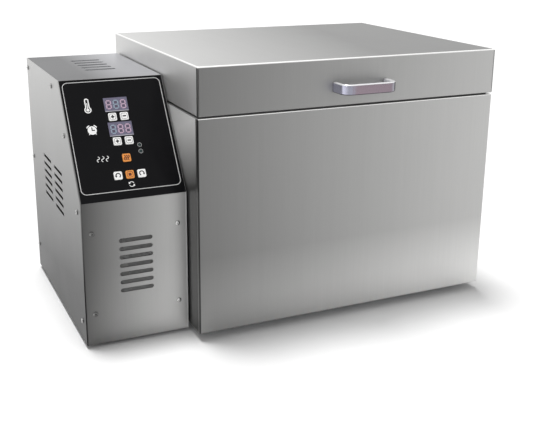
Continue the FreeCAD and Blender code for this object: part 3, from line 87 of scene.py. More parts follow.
# ---------------------------------------------------------------- node trees
class Signal:
    """An output of a node. Maths on it adds Math nodes to its tree."""

    def __init__(self, graph: Graph, socket: bpy.types.NodeSocket | None) -> None:
        """Wrap a socket of a graph."""
        self.graph, self.socket = graph, socket

    def output(self, name: str) -> Signal:
        """Another output of the same node."""
        return Signal(self.graph, self.socket.node.outputs[name])

    def math(self, operation: str, *others: Signal | float) -> Signal:
        """Result of a Math node on this value and others."""
        return self.graph.node("ShaderNodeMath", {"operation": operation}, dict(enumerate((self, *others))))

    def __add__(self, other: Signal | float) -> Signal:
        """Sum."""
        return self.math("ADD", other)

    __radd__ = __add__

    def __mul__(self, other: Signal | float) -> Signal:
        """Product."""
        return self.math("MULTIPLY", other)

    __rmul__ = __mul__

    def __sub__(self, other: Signal | float) -> Signal:
        """Difference."""
        return self.math("SUBTRACT", other)

    def __rsub__(self, other: float) -> Signal:
        """Number minus this value."""
        return self * -1.0 + other

    def limited(self, low: float = 0.0, high: float = 1.0) -> Signal:
        """Value kept between two limits."""
        return self.math("MAXIMUM", low).math("MINIMUM", high)

    def above(self, edge: float) -> Signal:
        """1 where the value is over the edge, else 0."""
        return self.math("GREATER_THAN", edge)

    def ramp(self, start: float, slope: float) -> Signal:
        """0 up to the start, then rising at a slope to 1."""
        return ((self - start) * slope).limited()


class Graph:
    """A node tree that is written as expressions."""

    def __init__(self, tree: bpy.types.NodeTree) -> None:
        """Start an empty tree."""
        self.tree = tree
        tree.nodes.clear()

    def node(self, kind: str, settings: dict | None = None, feeds: dict | None = None,
             output: int | str = 0) -> Signal:
        """Add a node.

        Args:
            kind: Blender's name of the node's type.
            settings: properties that are set first; "stops" holds a colour ramp's places and colours.
            feeds: values or signals of its inputs, by name or number; a list gives one input several signals.
            output: the output that is returned.

        Returns:
            The signal of that output.
        """
        made = self.tree.nodes.new(kind)
        for name, value in (settings or {}).items():
            if name == "stops":
                self._set_stops(made.color_ramp.elements, value)
            else:
                setattr(made, name, value)
        for key, value in (feeds or {}).items():
            for each in value if isinstance(value, list) else (value,):
                if isinstance(each, Signal):
                    self.tree.links.new(each.socket, made.inputs[key])
                else:
                    made.inputs[key].default_value = each
        return Signal(self, made.outputs[output] if made.outputs else None)

    @staticmethod
    def _set_stops(elements: bpy.types.ColorRampElements, stops: Sequence[tuple[float, Colour]]) -> None:
        """Give a colour ramp its stops.

        Args:
            elements: the ramp's elements.
            stops: place and colour of each stop.
        """
        while len(elements) < len(stops):
            elements.new(0.5)
        for element, (place, colour) in zip(elements, stops):
            element.position = place
            element.color = (*colour, 1.0)

    def mixed(self, factor: Signal | float, first: Signal | Colour, second: Signal | Colour) -> Signal:
        """Colour between two colours."""
        pair = [value if isinstance(value, Signal) else (*value, 1.0) for value in (first, second)]
        return self.node("ShaderNodeMix", {"data_type": "RGBA"}, {0: factor, 6: pair[0], 7: pair[1]}, 2)

    def split(self, vector: Signal) -> tuple[Signal, Signal, Signal]:
        """The three parts of a vector."""
        parts = self.node("ShaderNodeSeparateXYZ", {}, {"Vector": vector})
        return parts, parts.output("Y"), parts.output("Z")


class Recipe(Graph):
    """Shader tree of one finish, with a Principled shader at its end."""

    def __init__(self, name: str) -> None:
        """Start a material.

        Args:
            name: its name.
        """
        self.material = bpy.data.materials.new(name)
        self.material.use_nodes = True
        super().__init__(self.material.node_tree)

    def space(self, scale: Scales = UNSTRETCHED, shift: Scales = (0.0, 0.0, 0.0)) -> Signal:
        """Object coordinates, moved and then stretched.

        Args:
            scale: stretch along each axis.
            shift: move along each axis, in metres.

        Returns:
            The coordinates.
        """
        feeds = {0: self.node("ShaderNodeTexCoord", output="Object"), 1: shift}
        moved = self.node("ShaderNodeVectorMath", {"operation": "ADD"}, feeds)
        return self.node("ShaderNodeMapping", {}, {"Vector": moved, "Scale": scale})

    def facing(self) -> tuple[Signal, Signal, Signal]:
        """The way a face looks, along each axis."""
        return self.split(self.node("ShaderNodeTexCoord", output="Normal"))

    def noise(self, scale: Scales, detail: float = 2.0, fray: float = 0.5) -> Signal:
        """Noise from 0 to 1 whose grains have that many repeats per metre on each axis."""
        feeds = {"Vector": self.space(scale), "Scale": 1.0, "Detail": detail, "Roughness": fray}
        return self.node("ShaderNodeTexNoise", {}, feeds)

    def cells(self, scale: Scales, feature: str, output: str) -> Signal:
        """Voronoi cells with that many repeats per metre on each axis."""
        feeds = {"Vector": self.space(scale), "Scale": 1.0}
        return self.node("ShaderNodeTexVoronoi", {"feature": feature}, feeds, output)

    def tinted(self, level: Signal, colour: Colour) -> Signal:
        """Colour times a level that varies over the surface."""
        red, green, blue = [level * part for part in colour]
        return self.node("ShaderNodeCombineColor", {}, {"Red": red, "Green": green, "Blue": blue})

    def bump(self, height: Signal, distance: float, strength: float) -> Signal:
        """Normal of a surface with that relief, in metres."""
        return self.node("ShaderNodeBump", {}, {"Height": height, "Distance": distance, "Strength": strength})

    def finish(self, feeds: dict[str, Signal | float | tuple]) -> bpy.types.Material:
        """End the tree.

        Args:
            feeds: values or signals of the shader's inputs, by name.

        Returns:
            The material.
        """
        shader = self.node("ShaderNodeBsdfPrincipled", {}, feeds)
        self.node("ShaderNodeOutputMaterial", {}, {"Surface": shader})
        return self.material


# ---------------------------------------------------------------- kinds of finish
@dataclass(frozen=True)
class Speckle:
    """Noise over a surface, or a sheet's crystals, and its shares in the colour, roughness and relief."""

    repeats: Scales
    detail: float = 2.0
    fray: float = 0.5
    colour: float = 0.0
    rough: float = 0.0
    height: float = 0.0
    crystals: bool = False

    def signal(self, tree: Recipe) -> Signal:
        """Work out the variation.

        Args:
            tree: tree of the material.

        Returns:
            The noise, or a shade for each crystal.
        """
        if self.crystals:
            return tree.split(tree.cells(self.repeats, "F1", "Color"))[0]
        return tree.noise(self.repeats, self.detail, self.fray)


@dataclass(frozen=True)
class Finish:
    """A surface that makes its material from a colour, its speckles and its brightness at each place."""

    name: str
    colour: Colour = (0.60, 0.60, 0.60)
    roughness: float = 0.5
    relief: float = 0.00001
    press: float = 0.5
    metallic: float = 0.0
    coat: float = 0.0
    specular: float = 0.5
    glow: float = 0.0

    def speckles(self) -> tuple[Speckle, ...]:
        """Noises that vary the surface."""
        return ()

    def brightness(self, tree: Recipe) -> Signal | float:
        """Brightness at each place."""
        return 1.0

    def tint(self, tree: Recipe, level: Signal) -> Signal:
        """Colour at each place."""
        return tree.tinted(level, self.colour)

    def recipe(self) -> bpy.types.Material:
        """Make the material.

        Returns:
            The material.
        """
        tree = Recipe(self.name)
        level, rough, height = 1.0, self.roughness, 0.0
        for speckle in self.speckles():
            noise = speckle.signal(tree)
            if speckle.colour:
                level = (noise - 0.5) * speckle.colour + level
            if speckle.rough:
                rough = (noise - 0.5) * speckle.rough + rough
            if speckle.height:
                height = noise * speckle.height + height
        colour = self.tint(tree, level * self.brightness(tree))
        feeds = {"Base Color": colour, "Roughness": rough, "Metallic": self.metallic, "Coat Weight": self.coat,
                 "Specular IOR Level": self.specular}
        if isinstance(height, Signal):
            feeds["Normal"] = tree.bump(height, self.relief, self.press)
        if self.glow:
            feeds |= {"Emission Color": colour, "Emission Strength": self.glow}
        return tree.finish(feeds)


@dataclass(frozen=True)
class Tone:
    """Brightness of a sheet at the frame's origin, its drift per metre along each axis, and its limits; the drift is
    painted light, a gradient that stands in for the light and reflections across the sheet.

    Below the foot's height the sheet brightens by the foot's share per metre, painted light that lifts the reflected
    shadow of the floor.
    """

    level: float
    painted_light_drift: Scales = (0.0, 0.0, 0.0)
    limits: Point = (0.13, 0.58)
    foot: Point = (0.0, 0.0)

    def signal(self, tree: Recipe) -> Signal | float:
        """Work out the brightness.

        Args:
            tree: tree of the material.

        Returns:
            The brightness at each place.
        """
        value: Signal | float = self.level
        parts = tree.split(tree.space())
        for part, change in zip(parts, self.painted_light_drift):
            if change:
                value = part * change + value
        if isinstance(value, Signal):
            value = value.limited(*self.limits)
        # Painted lift of light below the foot's height, against the reflected floor shadow.
        if self.foot[1]:
            value = value * ((self.foot[0] - parts[2]) * self.foot[1] + 1.0).math("MAXIMUM", 1.0)
        return value


@dataclass(frozen=True)
class PaintedEdgeLine:
    """Painted line along a folded edge, placed on the two axes that it crosses: darker for a painted seam shadow,
    brighter for a painted highlight.
    """

    axes: tuple[int, int]
    place: Point
    reach: Point
    level: float

    def share(self, tree: Recipe) -> Signal:
        """Work out where the edge shows.

        Args:
            tree: tree of the material.

        Returns:
            1 at the edge, falling to 0 at its reach.
        """
        parts = tree.split(tree.space())
        first, second = [(parts[axis] - place).math("ABSOLUTE") * (2.0 / reach)
                         for axis, place, reach in zip(self.axes, self.place, self.reach)]
        return (2.0 - first.math("MAXIMUM", second)).limited()


@dataclass(frozen=True)
class Toned(Finish):
    """Finish with a tone, painted tones on the faces that look along an axis, which make a top or a side lighter or
    darker as light falls on it, and painted shadows and highlights along its edges.
    """

    tone: Tone = Tone(1.0)
    painted_face_tones: tuple[tuple[int, Tone], ...] = ()
    edges: tuple[PaintedEdgeLine, ...] = ()

    def brightness(self, tree: Recipe) -> Signal | float:
        """Work out the tone.

        Args:
            tree: tree of the material.

        Returns:
            The brightness at each place.
        """
        level = self.tone.signal(tree)
        # Painted light: faces that look along the axis take their own tone.
        for axis, tone in self.painted_face_tones:
            facing = tree.facing()[axis].math("ABSOLUTE").ramp(0.4, 3.0)
            level = (tone.signal(tree) - level) * facing + level
        # Painted seam shadows and painted highlights along the edges.
        for edge in self.edges:
            level = (edge.level - level) * edge.share(tree) + level
        return level


class Grain(Enum):
    """Direction in which a sheet was brushed: for each axis, whether it runs along the grain."""

    ALONG_X = (True, False, False)
    ACROSS_X = (False, True, True)
    ACROSS_Y = (True, False, True)

    def scales(self, across: float, along: float) -> Scales:
        """Repeats per metre on each axis, from those across and along the grain."""
        return tuple(along if own else across for own in self.value)


@dataclass(frozen=True)
class BrushedSheet(Toned):
    """Brushed stainless sheet: long fine grain, soft bands and a faint cloud of handling."""

    colour: Colour = (1.0, 0.998, 0.985)
    roughness: float = 0.36
    relief: float = 0.00002
    press: float = 0.6
    metallic: float = 0.7
    grain: Grain = Grain.ACROSS_X

    def speckles(self) -> tuple[Speckle, ...]:
        """List the sheet's variations.

        Returns:
            Grain, bands and cloud.
        """
        return (Speckle(self.grain.scales(1500.0, 12.0), 3.0, 0.7, colour=0.12, rough=0.10, height=1.0),
                Speckle(self.grain.scales(110.0, 1.5), 3.0, colour=0.048),
                Speckle((7.0, 7.0, 7.0), colour=0.06, rough=0.08))


@dataclass(frozen=True)
class PlainMetal(Toned):
    """Metal without a grain: turned, rolled, cast or galvanised."""

    roughness: float = 0.25
    press: float = 0.4
    metallic: float = 1.0
    mottle: float = 0.10
    crystals: float = 0.0

    def speckles(self) -> tuple[Speckle, ...]:
        """List the metal's variations.

        Returns:
            Fine and broad mottle, and a zinc coat's crystals.
        """
        both = (Speckle((420.0, 420.0, 420.0), 3.0, colour=self.mottle, rough=0.12, height=1.0),
                Speckle((30.0, 30.0, 30.0), colour=self.mottle))
        zinc = Speckle((self.crystals,) * 3, colour=0.25, rough=0.15, crystals=True)
        return (*both, zinc) if self.crystals else both


@dataclass(frozen=True)
class PaintedLightBow(Finish):
    """Polished bow whose colours paint its light: a painted highlight on top, painted shade below and a painted
    shadow where the legs meet the lid, painted reflections that cool where it bends on the left and warm in the
    middle, and painted fill light on its inner faces.

    The outside's painted reflection follows the way it turns from left, 0, over front, 0.5, to right, 1.
    """

    middle: float = 86.0 * MM
    root: float = -194.7 * MM
    root_shadow_slope: float = 700.0
    # Painted highlight on the faces that look up; painted shade on those that look down and along the legs' root.
    top: Colour = (0.95, 0.95, 0.97)
    under: Colour = (0.07, 0.06, 0.08)
    # Painted reflections across the outside, by the way it turns.
    turning: tuple[tuple[float, Colour], ...] = (
        (0.0, (0.56, 0.56, 0.68)), (0.10, (0.54, 0.54, 0.66)), (0.25, (0.29, 0.29, 0.35)),
        (0.40, (0.28, 0.28, 0.34)), (0.49, (0.25, 0.20, 0.23)), (0.56, (0.23, 0.19, 0.22)),
        (0.73, (0.32, 0.32, 0.36)), (0.80, (0.05, 0.05, 0.06)))
    # Painted fill light on the legs' inner faces and the bar's back, and a cool painted reflection on the left bend.
    inner: Colour = (0.80, 0.80, 0.85)
    cool_reflection: Colour = (0.28, 0.28, 0.34)
    cool_reflection_start: float = 26.0 * MM
    cool_reflection_slope: float = 140.0
    cool_reflection_turn: float = 0.46

    def recipe(self) -> bpy.types.Material:
        """Make the material.

        Returns:
            The material.
        """
        tree = Recipe(self.name)
        x, y, _ = tree.split(tree.space(shift=(-self.middle, -self.root, 0.0)))
        sideways, backward, upward = tree.facing()
        scuffs = tree.noise((60.0, 400.0, 400.0), 3.0)
        reflection_streaks = tree.noise((25.0, 400.0, 330.0), 2.0)
        turn = sideways * 0.5 + 0.5 + (scuffs - 0.5) * 0.06
        # Painted reflections: the outside's colour follows the way it turns.
        outside = tree.node("ShaderNodeValToRGB", {"stops": self.turning}, {"Fac": turn})
        # Painted cool reflection on the left bend, broken into streaks.
        cool_reflection_patch = ((x * -1.0).ramp(self.cool_reflection_start, self.cool_reflection_slope) * (reflection_streaks + 0.5)).limited()
        # Painted fill light on the legs' inner faces and the bar's back.
        inner_fill_light = (sideways * x * -400.0).limited() * sideways.math("ABSOLUTE").above(0.5)
        inner_fill_light = inner_fill_light.math("MAXIMUM", backward.ramp(0.3, 4.0))
        # Painted highlight on the faces that look up.
        top_highlight = upward.ramp(0.3, 4.0)
        colour = tree.mixed(cool_reflection_patch * turn.above(self.cool_reflection_turn), outside, self.cool_reflection)
        # Painted highlight on top, painted shade below, and a painted shadow where the legs meet the lid.
        for share, other in ((inner_fill_light, self.inner), (top_highlight, self.top), ((upward * -1.0).ramp(0.3, 4.0), self.under),
                             (y.ramp(0.0, self.root_shadow_slope), self.under)):
            colour = tree.mixed(share, colour, other)
        return tree.finish({"Base Color": colour, "Metallic": 1.0 - inner_fill_light.math("MAXIMUM", top_highlight) * 0.6,
                            "Roughness": 0.16 + scuffs * 0.12})


@dataclass(frozen=True)
class HeatedMetal(Finish):
    """Sheath or sheet that heat has stained from straw to blue-grey."""

    colour: Colour = (0.20, 0.19, 0.18)
    roughness: float = 0.42
    relief: float = 0.00003
    press: float = 0.6
    metallic: float = 0.85
    stain: Colour = (0.24, 0.17, 0.12)

    def speckles(self) -> tuple[Speckle, ...]:
        """Fine scale."""
        return (Speckle((700.0, 700.0, 700.0), 3.0, rough=0.3, height=1.0),)

    def tint(self, tree: Recipe, level: Signal | float) -> Signal:
        """Colour between bare and stained."""
        return tree.mixed(tree.noise((16.0, 28.0, 28.0), 3.0).ramp(0.35, 2.5), self.colour, self.stain)


@dataclass(frozen=True)
class Moulded(Finish):
    """Moulded plastic, paint or rubber with a fine tooth and slight wear."""

    relief: float = 0.00004

    def speckles(self) -> tuple[Speckle, ...]:
        """Tooth and wear."""
        return (Speckle((2600.0, 2600.0, 2600.0), colour=0.08, height=1.0),
                Speckle((60.0, 60.0, 60.0), colour=0.10, rough=0.10))


@dataclass(frozen=True)
class GlossFilm(Finish):
    """Printed polyester film with a gloss face and the faint waves of its adhesive."""

    colour: Colour = (0.006, 0.006, 0.007)
    roughness: float = 0.172
    relief: float = 0.0004
    press: float = 0.15
    specular: float = 0.08

    def speckles(self) -> tuple[Speckle, ...]:
        """Waves and smudges."""
        return (Speckle((22.0, 22.0, 22.0), 1.0, colour=0.4, height=1.0),
                Speckle((70.0, 70.0, 70.0), 3.0, 0.6, rough=0.12))


@dataclass(frozen=True)
class Ink(Finish):
    """Screen-printed ink, matt and slightly uneven."""

    roughness: float = 0.47

    def speckles(self) -> tuple[Speckle, ...]:
        """Uneven print."""
        return (Speckle((900.0, 900.0, 900.0), colour=0.12, rough=0.1),)


@dataclass(frozen=True)
class Lens(Finish):
    """Tinted acrylic lens over a module or lamp, slightly hazy."""

    roughness: float = 0.33
    specular: float = 0.2

    def speckles(self) -> tuple[Speckle, ...]:
        """Haze."""
        return (Speckle((130.0, 130.0, 130.0), colour=0.3, rough=0.06),)


@dataclass(frozen=True)
class Wool(Finish):
    """Ceramic fibre blanket: pale, matt and felted."""

    colour: Colour = (0.741, 0.722, 0.6745)
    roughness: float = 0.95
    relief: float = 0.0006
    press: float = 0.7

    def speckles(self) -> tuple[Speckle, ...]:
        """Fibres and lumps."""
        return (Speckle((500.0, 1500.0, 500.0), 5.0, 0.7, colour=0.2105, height=1.0),
                Speckle((60.0, 60.0, 60.0), 3.0, colour=0.2105, height=1.0))


@dataclass(frozen=True)
class BoardResist(Finish):
    """Green solder resist over copper tracks."""

    colour: Colour = (0.02, 0.16, 0.06)
    track: Colour = (0.05, 0.27, 0.11)
    track_edge: float = 0.12

    def recipe(self) -> bpy.types.Material:
        """Make the material.

        Returns:
            The material.
        """
        tree = Recipe(self.name)
        tracks = tree.cells((160.0, 160.0, 160.0), "DISTANCE_TO_EDGE", "Distance").above(self.track_edge)
        return tree.finish({"Base Color": tree.mixed(tracks, self.track, self.colour), "Roughness": 0.35,
                            "Normal": tree.bump(1.0 - tracks, 0.00003, 0.5)})


@lru_cache(maxsize=None)
def material(finish: Finish) -> bpy.types.Material:
    """The one material of a finish."""
    return finish.recipe()


# ---------------------------------------------------------------- finishes of this roaster
# Painted seam shadows at the front left corners of the body and the box, and painted highlights along the lid's top
# edges and the box's right front corner.
CORNER_SEAM_SHADOW = PaintedEdgeLine((0, 1), (-170.3 * MM, -190.9 * MM), (1.6 * MM, 3.2 * MM), 0.01)
LID_SHADE_AND_HIGHLIGHT_EDGES = (CORNER_SEAM_SHADOW, PaintedEdgeLine((1, 2), (-192.5 * MM, 406.7 * MM), (1.9 * MM, 1.7 * MM), 0.98),
             PaintedEdgeLine((0, 2), (-169.4 * MM, 406.6 * MM), (2.0 * MM, 1.7 * MM), 0.98))
BOX_SHADE_AND_HIGHLIGHT_EDGES = (PaintedEdgeLine((0, 1), (-326.6 * MM, -149.3 * MM), (0.9 * MM, 1.6 * MM), 0.05),
             PaintedEdgeLine((0, 1), (-173.6 * MM, -149.3 * MM), (1.6 * MM, 1.6 * MM), 0.80))
# Painted light: each sheet's drift paints its gradient of reflected light, foot lifts paint light near the bottom
# against the reflected floor shadow, and face tones paint a top or a side lighter or darker.
FRONT_SKIN = BrushedSheet("front_skin_steel", tone=Tone(0.28, (0.66, 0.0, 0.08), foot=(0.13, 6.0)),
                          edges=(CORNER_SEAM_SHADOW,))
REAR_SKIN = BrushedSheet("rear_skin_steel", tone=Tone(0.46))
LEFT_SKIN = BrushedSheet("left_skin_steel", grain=Grain.ACROSS_Y, metallic=0.1,
                         tone=Tone(-1.41, (0.0, 3.5, 9.0), (0.07, 0.95)))
RIGHT_SKIN = BrushedSheet("right_skin_steel", grain=Grain.ACROSS_Y, tone=Tone(0.48, (0.0, 0.5, 0.0)))
# Painted highlight on the deck's front and back folds, the bright line under the lid seam.
DECK = BrushedSheet("deck_steel", grain=Grain.ALONG_X, tone=Tone(0.40), painted_face_tones=((1, Tone(0.95)),))
LID_SKIN = BrushedSheet("lid_steel", roughness=0.44, tone=Tone(0.49, (0.62, 1.0, 0.0)), edges=LID_SHADE_AND_HIGHLIGHT_EDGES,
                        painted_face_tones=((0, Tone(0.70)), (2, Tone(0.365, (-1.0, 0.18, 0.0), (0.20, 0.60)))))
BOX_FRONT = BrushedSheet("box_front_steel", tone=Tone(1.0, (2.75, 0.0, -0.1), (0.09, 0.50), (0.13, 2.0)),
                         edges=BOX_SHADE_AND_HIGHLIGHT_EDGES)
BOX_SIDE = BrushedSheet("box_side_steel", grain=Grain.ACROSS_Y, tone=Tone(-0.115, (0.0, 0.22, 1.55), (0.0, 0.50)))
BOX_SHELL = BrushedSheet("box_shell_steel", (0.985, 0.99, 1.04), grain=Grain.ALONG_X,
                         tone=Tone(1.18, (3.9, 0.0, 0.0), (0.09, 0.47)),
                         painted_face_tones=((1, Tone(1.2, (0.0, -5.0, 0.0), (0.30, 0.42))),))
WELL = BrushedSheet("well_steel", (1.0, 0.98, 0.94), grain=Grain.ALONG_X, tone=Tone(0.42))
DRUM = BrushedSheet("drum_steel", (1.0, 0.98, 0.95), 0.30, grain=Grain.ALONG_X, tone=Tone(0.50))
GALVANISED = PlainMetal("galvanised_sheet", (0.52, 0.54, 0.55), 0.42, mottle=0.08, crystals=90.0)
# Painted reflection: the screw heads darken towards the left, and those that face sideways take a tone of their own.
SCREW = PlainMetal("screw_steel", (0.80, 0.80, 0.79), 0.26, tone=Tone(1.52, (4.4, 0.0, 0.0), (0.16, 0.75)),
                   painted_face_tones=((0, Tone(0.60)),))
TURNED = PlainMetal("turned_steel", (0.62, 0.62, 0.61), 0.20)
WIRE = PlainMetal("wire_cloth", (0.40, 0.40, 0.40), 0.62)
HANDLE = PaintedLightBow("polished_handle")
BRASS = PlainMetal("turned_brass", (0.68, 0.50, 0.22), 0.28)
MOTOR = Moulded("motor_paint", (0.10, 0.11, 0.12), 0.35, 0.00002, coat=0.3)
SHEATH = HeatedMetal("heater_sheath")
GASKET = Moulded("silicone_gasket", (0.05, 0.05, 0.05), 0.62)
RUBBER = Moulded("foot_rubber", (0.025, 0.025, 0.025), 0.75, 0.00008)
NYLON = Moulded("black_nylon", (0.03, 0.03, 0.03), 0.45)
CERAMIC = Moulded("glazed_ceramic", (0.80, 0.77, 0.70), 0.35, 0.00003, coat=0.4)
# The keys' glow is painted light; they are no lamps.
KEY_WHITE = Moulded("white_key", (0.95, 0.95, 0.94), 0.34, 0.00001, coat=0.2, glow=0.14)
KEY_ORANGE = Moulded("orange_key", (0.90, 0.33, 0.06), 0.34, 0.00001, coat=0.2, glow=0.08)
FILM = GlossFilm("panel_film")
# The white print's glow is painted light; it is no lamp.
PRINT = Ink("white_print", (0.94, 0.94, 0.93), glow=0.16)
BORDER = Ink("border_print", (0.74, 0.74, 0.74))
SYMBOL = Ink("symbol_print", (0.02, 0.02, 0.02))
EMBER = Ink("dark_orange_print", (0.12, 0.02, 0.005))
DISPLAY = Lens("display_lens", (0.17, 0.16, 0.23), glow=0.10)
LAMP = Lens("lamp_lens", (0.03, 0.05, 0.05))
LIT_PINK = Ink("lit_pink", (0.48, 0.35, 0.45), glow=0.2)
LIT_TEAL = Ink("lit_teal", (0.27, 0.34, 0.42), glow=0.15)
# Painted highlight along the lower edge of each display.
DISPLAY_EDGE_HIGHLIGHT = Ink("display_edge_highlight", (0.60, 0.60, 0.64))
DIGIT_GROUND = Ink("digit_ground", (0.085, 0.065, 0.11), glow=0.1)
WOOL = Wool("ceramic_wool")
BOARD = BoardResist("board_resist")


# ---------------------------------------------------------------- pieces and meshes
def dress(nodes: dict[str, Finish]) -> None:
    """Give CAD nodes their finishes; their meshes stay as they are.

    Args:
        nodes: finish of each node, by name.
    """
    for name, finish in nodes.items():
        mesh = FRAME["nodes"][name].data
        mesh.materials.clear()
        mesh.materials.append(material(finish))
        LOG.info("node %s: %s", name, finish.name)


def add_piece(piece: bpy.types.Object, body: str, slot: str, replaces: Sequence[str] = ()) -> None:
    """Put a finished piece on its body.

    Args:
        piece: mesh object that sits at the origin, with its material set.
        body: CAD body that carries it.
        slot: name of a material slot of the record; not used.
        replaces: CAD nodes that it stands for.
    """
    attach(piece, body)
    if replaces:
        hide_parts(*replaces)
    LOG.info("piece %s: %d faces on %s", piece.name, len(piece.data.polygons), body)


def make_object(name: str, mesh: bpy.types.Mesh, finish: Finish | None = None) -> bpy.types.Object:
    """Make an object at the origin.

    Args:
        name: name of the object.
        mesh: mesh that it holds.
        finish: finish that the mesh gets.

    Returns:
        The object.
    """
    made = bpy.data.objects.new(name, mesh)
    bpy.context.scene.collection.objects.link(made)
    if finish:
        mesh.materials.append(material(finish))
    return made


def remove(*objects: bpy.types.Object) -> None:
    """Delete helper objects."""
    for each in objects:
        bpy.data.objects.remove(each)


def applied(host: bpy.types.Object) -> bpy.types.Mesh:
    """Plain mesh of an object with its modifiers applied."""
    graph = bpy.context.evaluated_depsgraph_get()
    return bpy.data.meshes.new_from_object(host.evaluated_get(graph), depsgraph=graph)


def make_mesh(name: str, corners: Sequence[Sequence[float]], faces: Sequence[Sequence[int]],
              smooth: float = 0.0) -> bpy.types.Mesh:
    """Closed mesh with its faces outwards.

    Args:
        name: name of the mesh.
        corners: vertex places.
        faces: vertex numbers of each face.
        smooth: edges below this angle, in degrees, are shaded smooth.

    Returns:
        The mesh.
    """
    mesh = bpy.data.meshes.new(name)
    mesh.from_pydata([tuple(corner) for corner in corners], [], [tuple(face) for face in faces])
    work = bmesh.new()
    work.from_mesh(mesh)
    bmesh.ops.remove_doubles(work, verts=work.verts, dist=1e-7)
    bmesh.ops.recalc_face_normals(work, faces=work.faces)
    work.to_mesh(mesh)
    work.free()
    shade(mesh, smooth)
    return mesh


def shade(mesh: bpy.types.Mesh, smooth: float) -> None:
    """Shade a mesh.

    Args:
        mesh: the mesh.
        smooth: edges below this angle, in degrees, are shaded smooth; at 0 all are flat.
    """
    mesh.polygons.foreach_set("use_smooth", [smooth > 0.0] * len(mesh.polygons))
    if smooth:
        mesh.set_sharp_from_angle(angle=math.radians(smooth))
    mesh.update()


def tube_faces(rings: int, count: int) -> list[tuple[int, ...]]:
    """Faces of a closed tube whose corners are given ring by ring.

    Args:
        rings: number of rings.
        count: corners in each ring.

    Returns:
        Vertex numbers of each wall face and of both end caps.
    """
    faces = [(ring + step, ring + (step + 1) % count, ring + count + (step + 1) % count, ring + count + step)
             for ring in range(0, (rings - 1) * count, count) for step in range(count)]
    return faces + [tuple(range(count))[::-1], tuple(range((rings - 1) * count, rings * count))]


def solids_of(node: str) -> list[np.ndarray]:
    """Find the separate solids of a CAD node.

    Args:
        node: name of the node.

    Returns:
        Corners of each solid.
    """
    mesh = FRAME["nodes"][node].data
    corners = np.array([vertex.co[:] for vertex in mesh.vertices])
    _, same = np.unique(np.round(corners, 6), axis=0, return_inverse=True)
    same = same.ravel()
    label = np.arange(same.max() + 1)
    triangles = same[np.array([polygon.vertices[:] for polygon in mesh.polygons])]
    while True:
        lowest = label[triangles].min(axis=1)
        before = label.copy()
        for column in range(3):
            np.minimum.at(label, triangles[:, column], lowest)
        label = label[label]
        if (label == before).all():
            break
    return [corners[label[same] == each] for each in np.unique(label)]


def circle(centre: Point, radius: float, steps: int) -> list[Point]:
    """Points round a circle, anticlockwise."""
    turns = [2 * math.pi * step / steps for step in range(steps)]
    return [(centre[0] + radius * math.cos(turn), centre[1] + radius * math.sin(turn)) for turn in turns]


def rounded_outline(size: Point, corner: float, steps: int = 6, centre: Point = (0.0, 0.0)) -> list[Point]:
    """Outline of a rectangle with round corners, anticlockwise.

    Args:
        size: width and height.
        corner: radius of the corners.
        steps: pieces of each corner's arc.
        centre: middle of the rectangle.

    Returns:
        The outline's points.
    """
    points = []
    for quarter, (side, end) in enumerate(((1, 1), (-1, 1), (-1, -1), (1, -1))):
        for step in range(steps + 1):
            turn = math.pi / 2 * (quarter + step / steps)
            points.append((centre[0] + side * (size[0] / 2 - corner) + corner * math.cos(turn),
                           centre[1] + end * (size[1] / 2 - corner) + corner * math.sin(turn)))
    return points


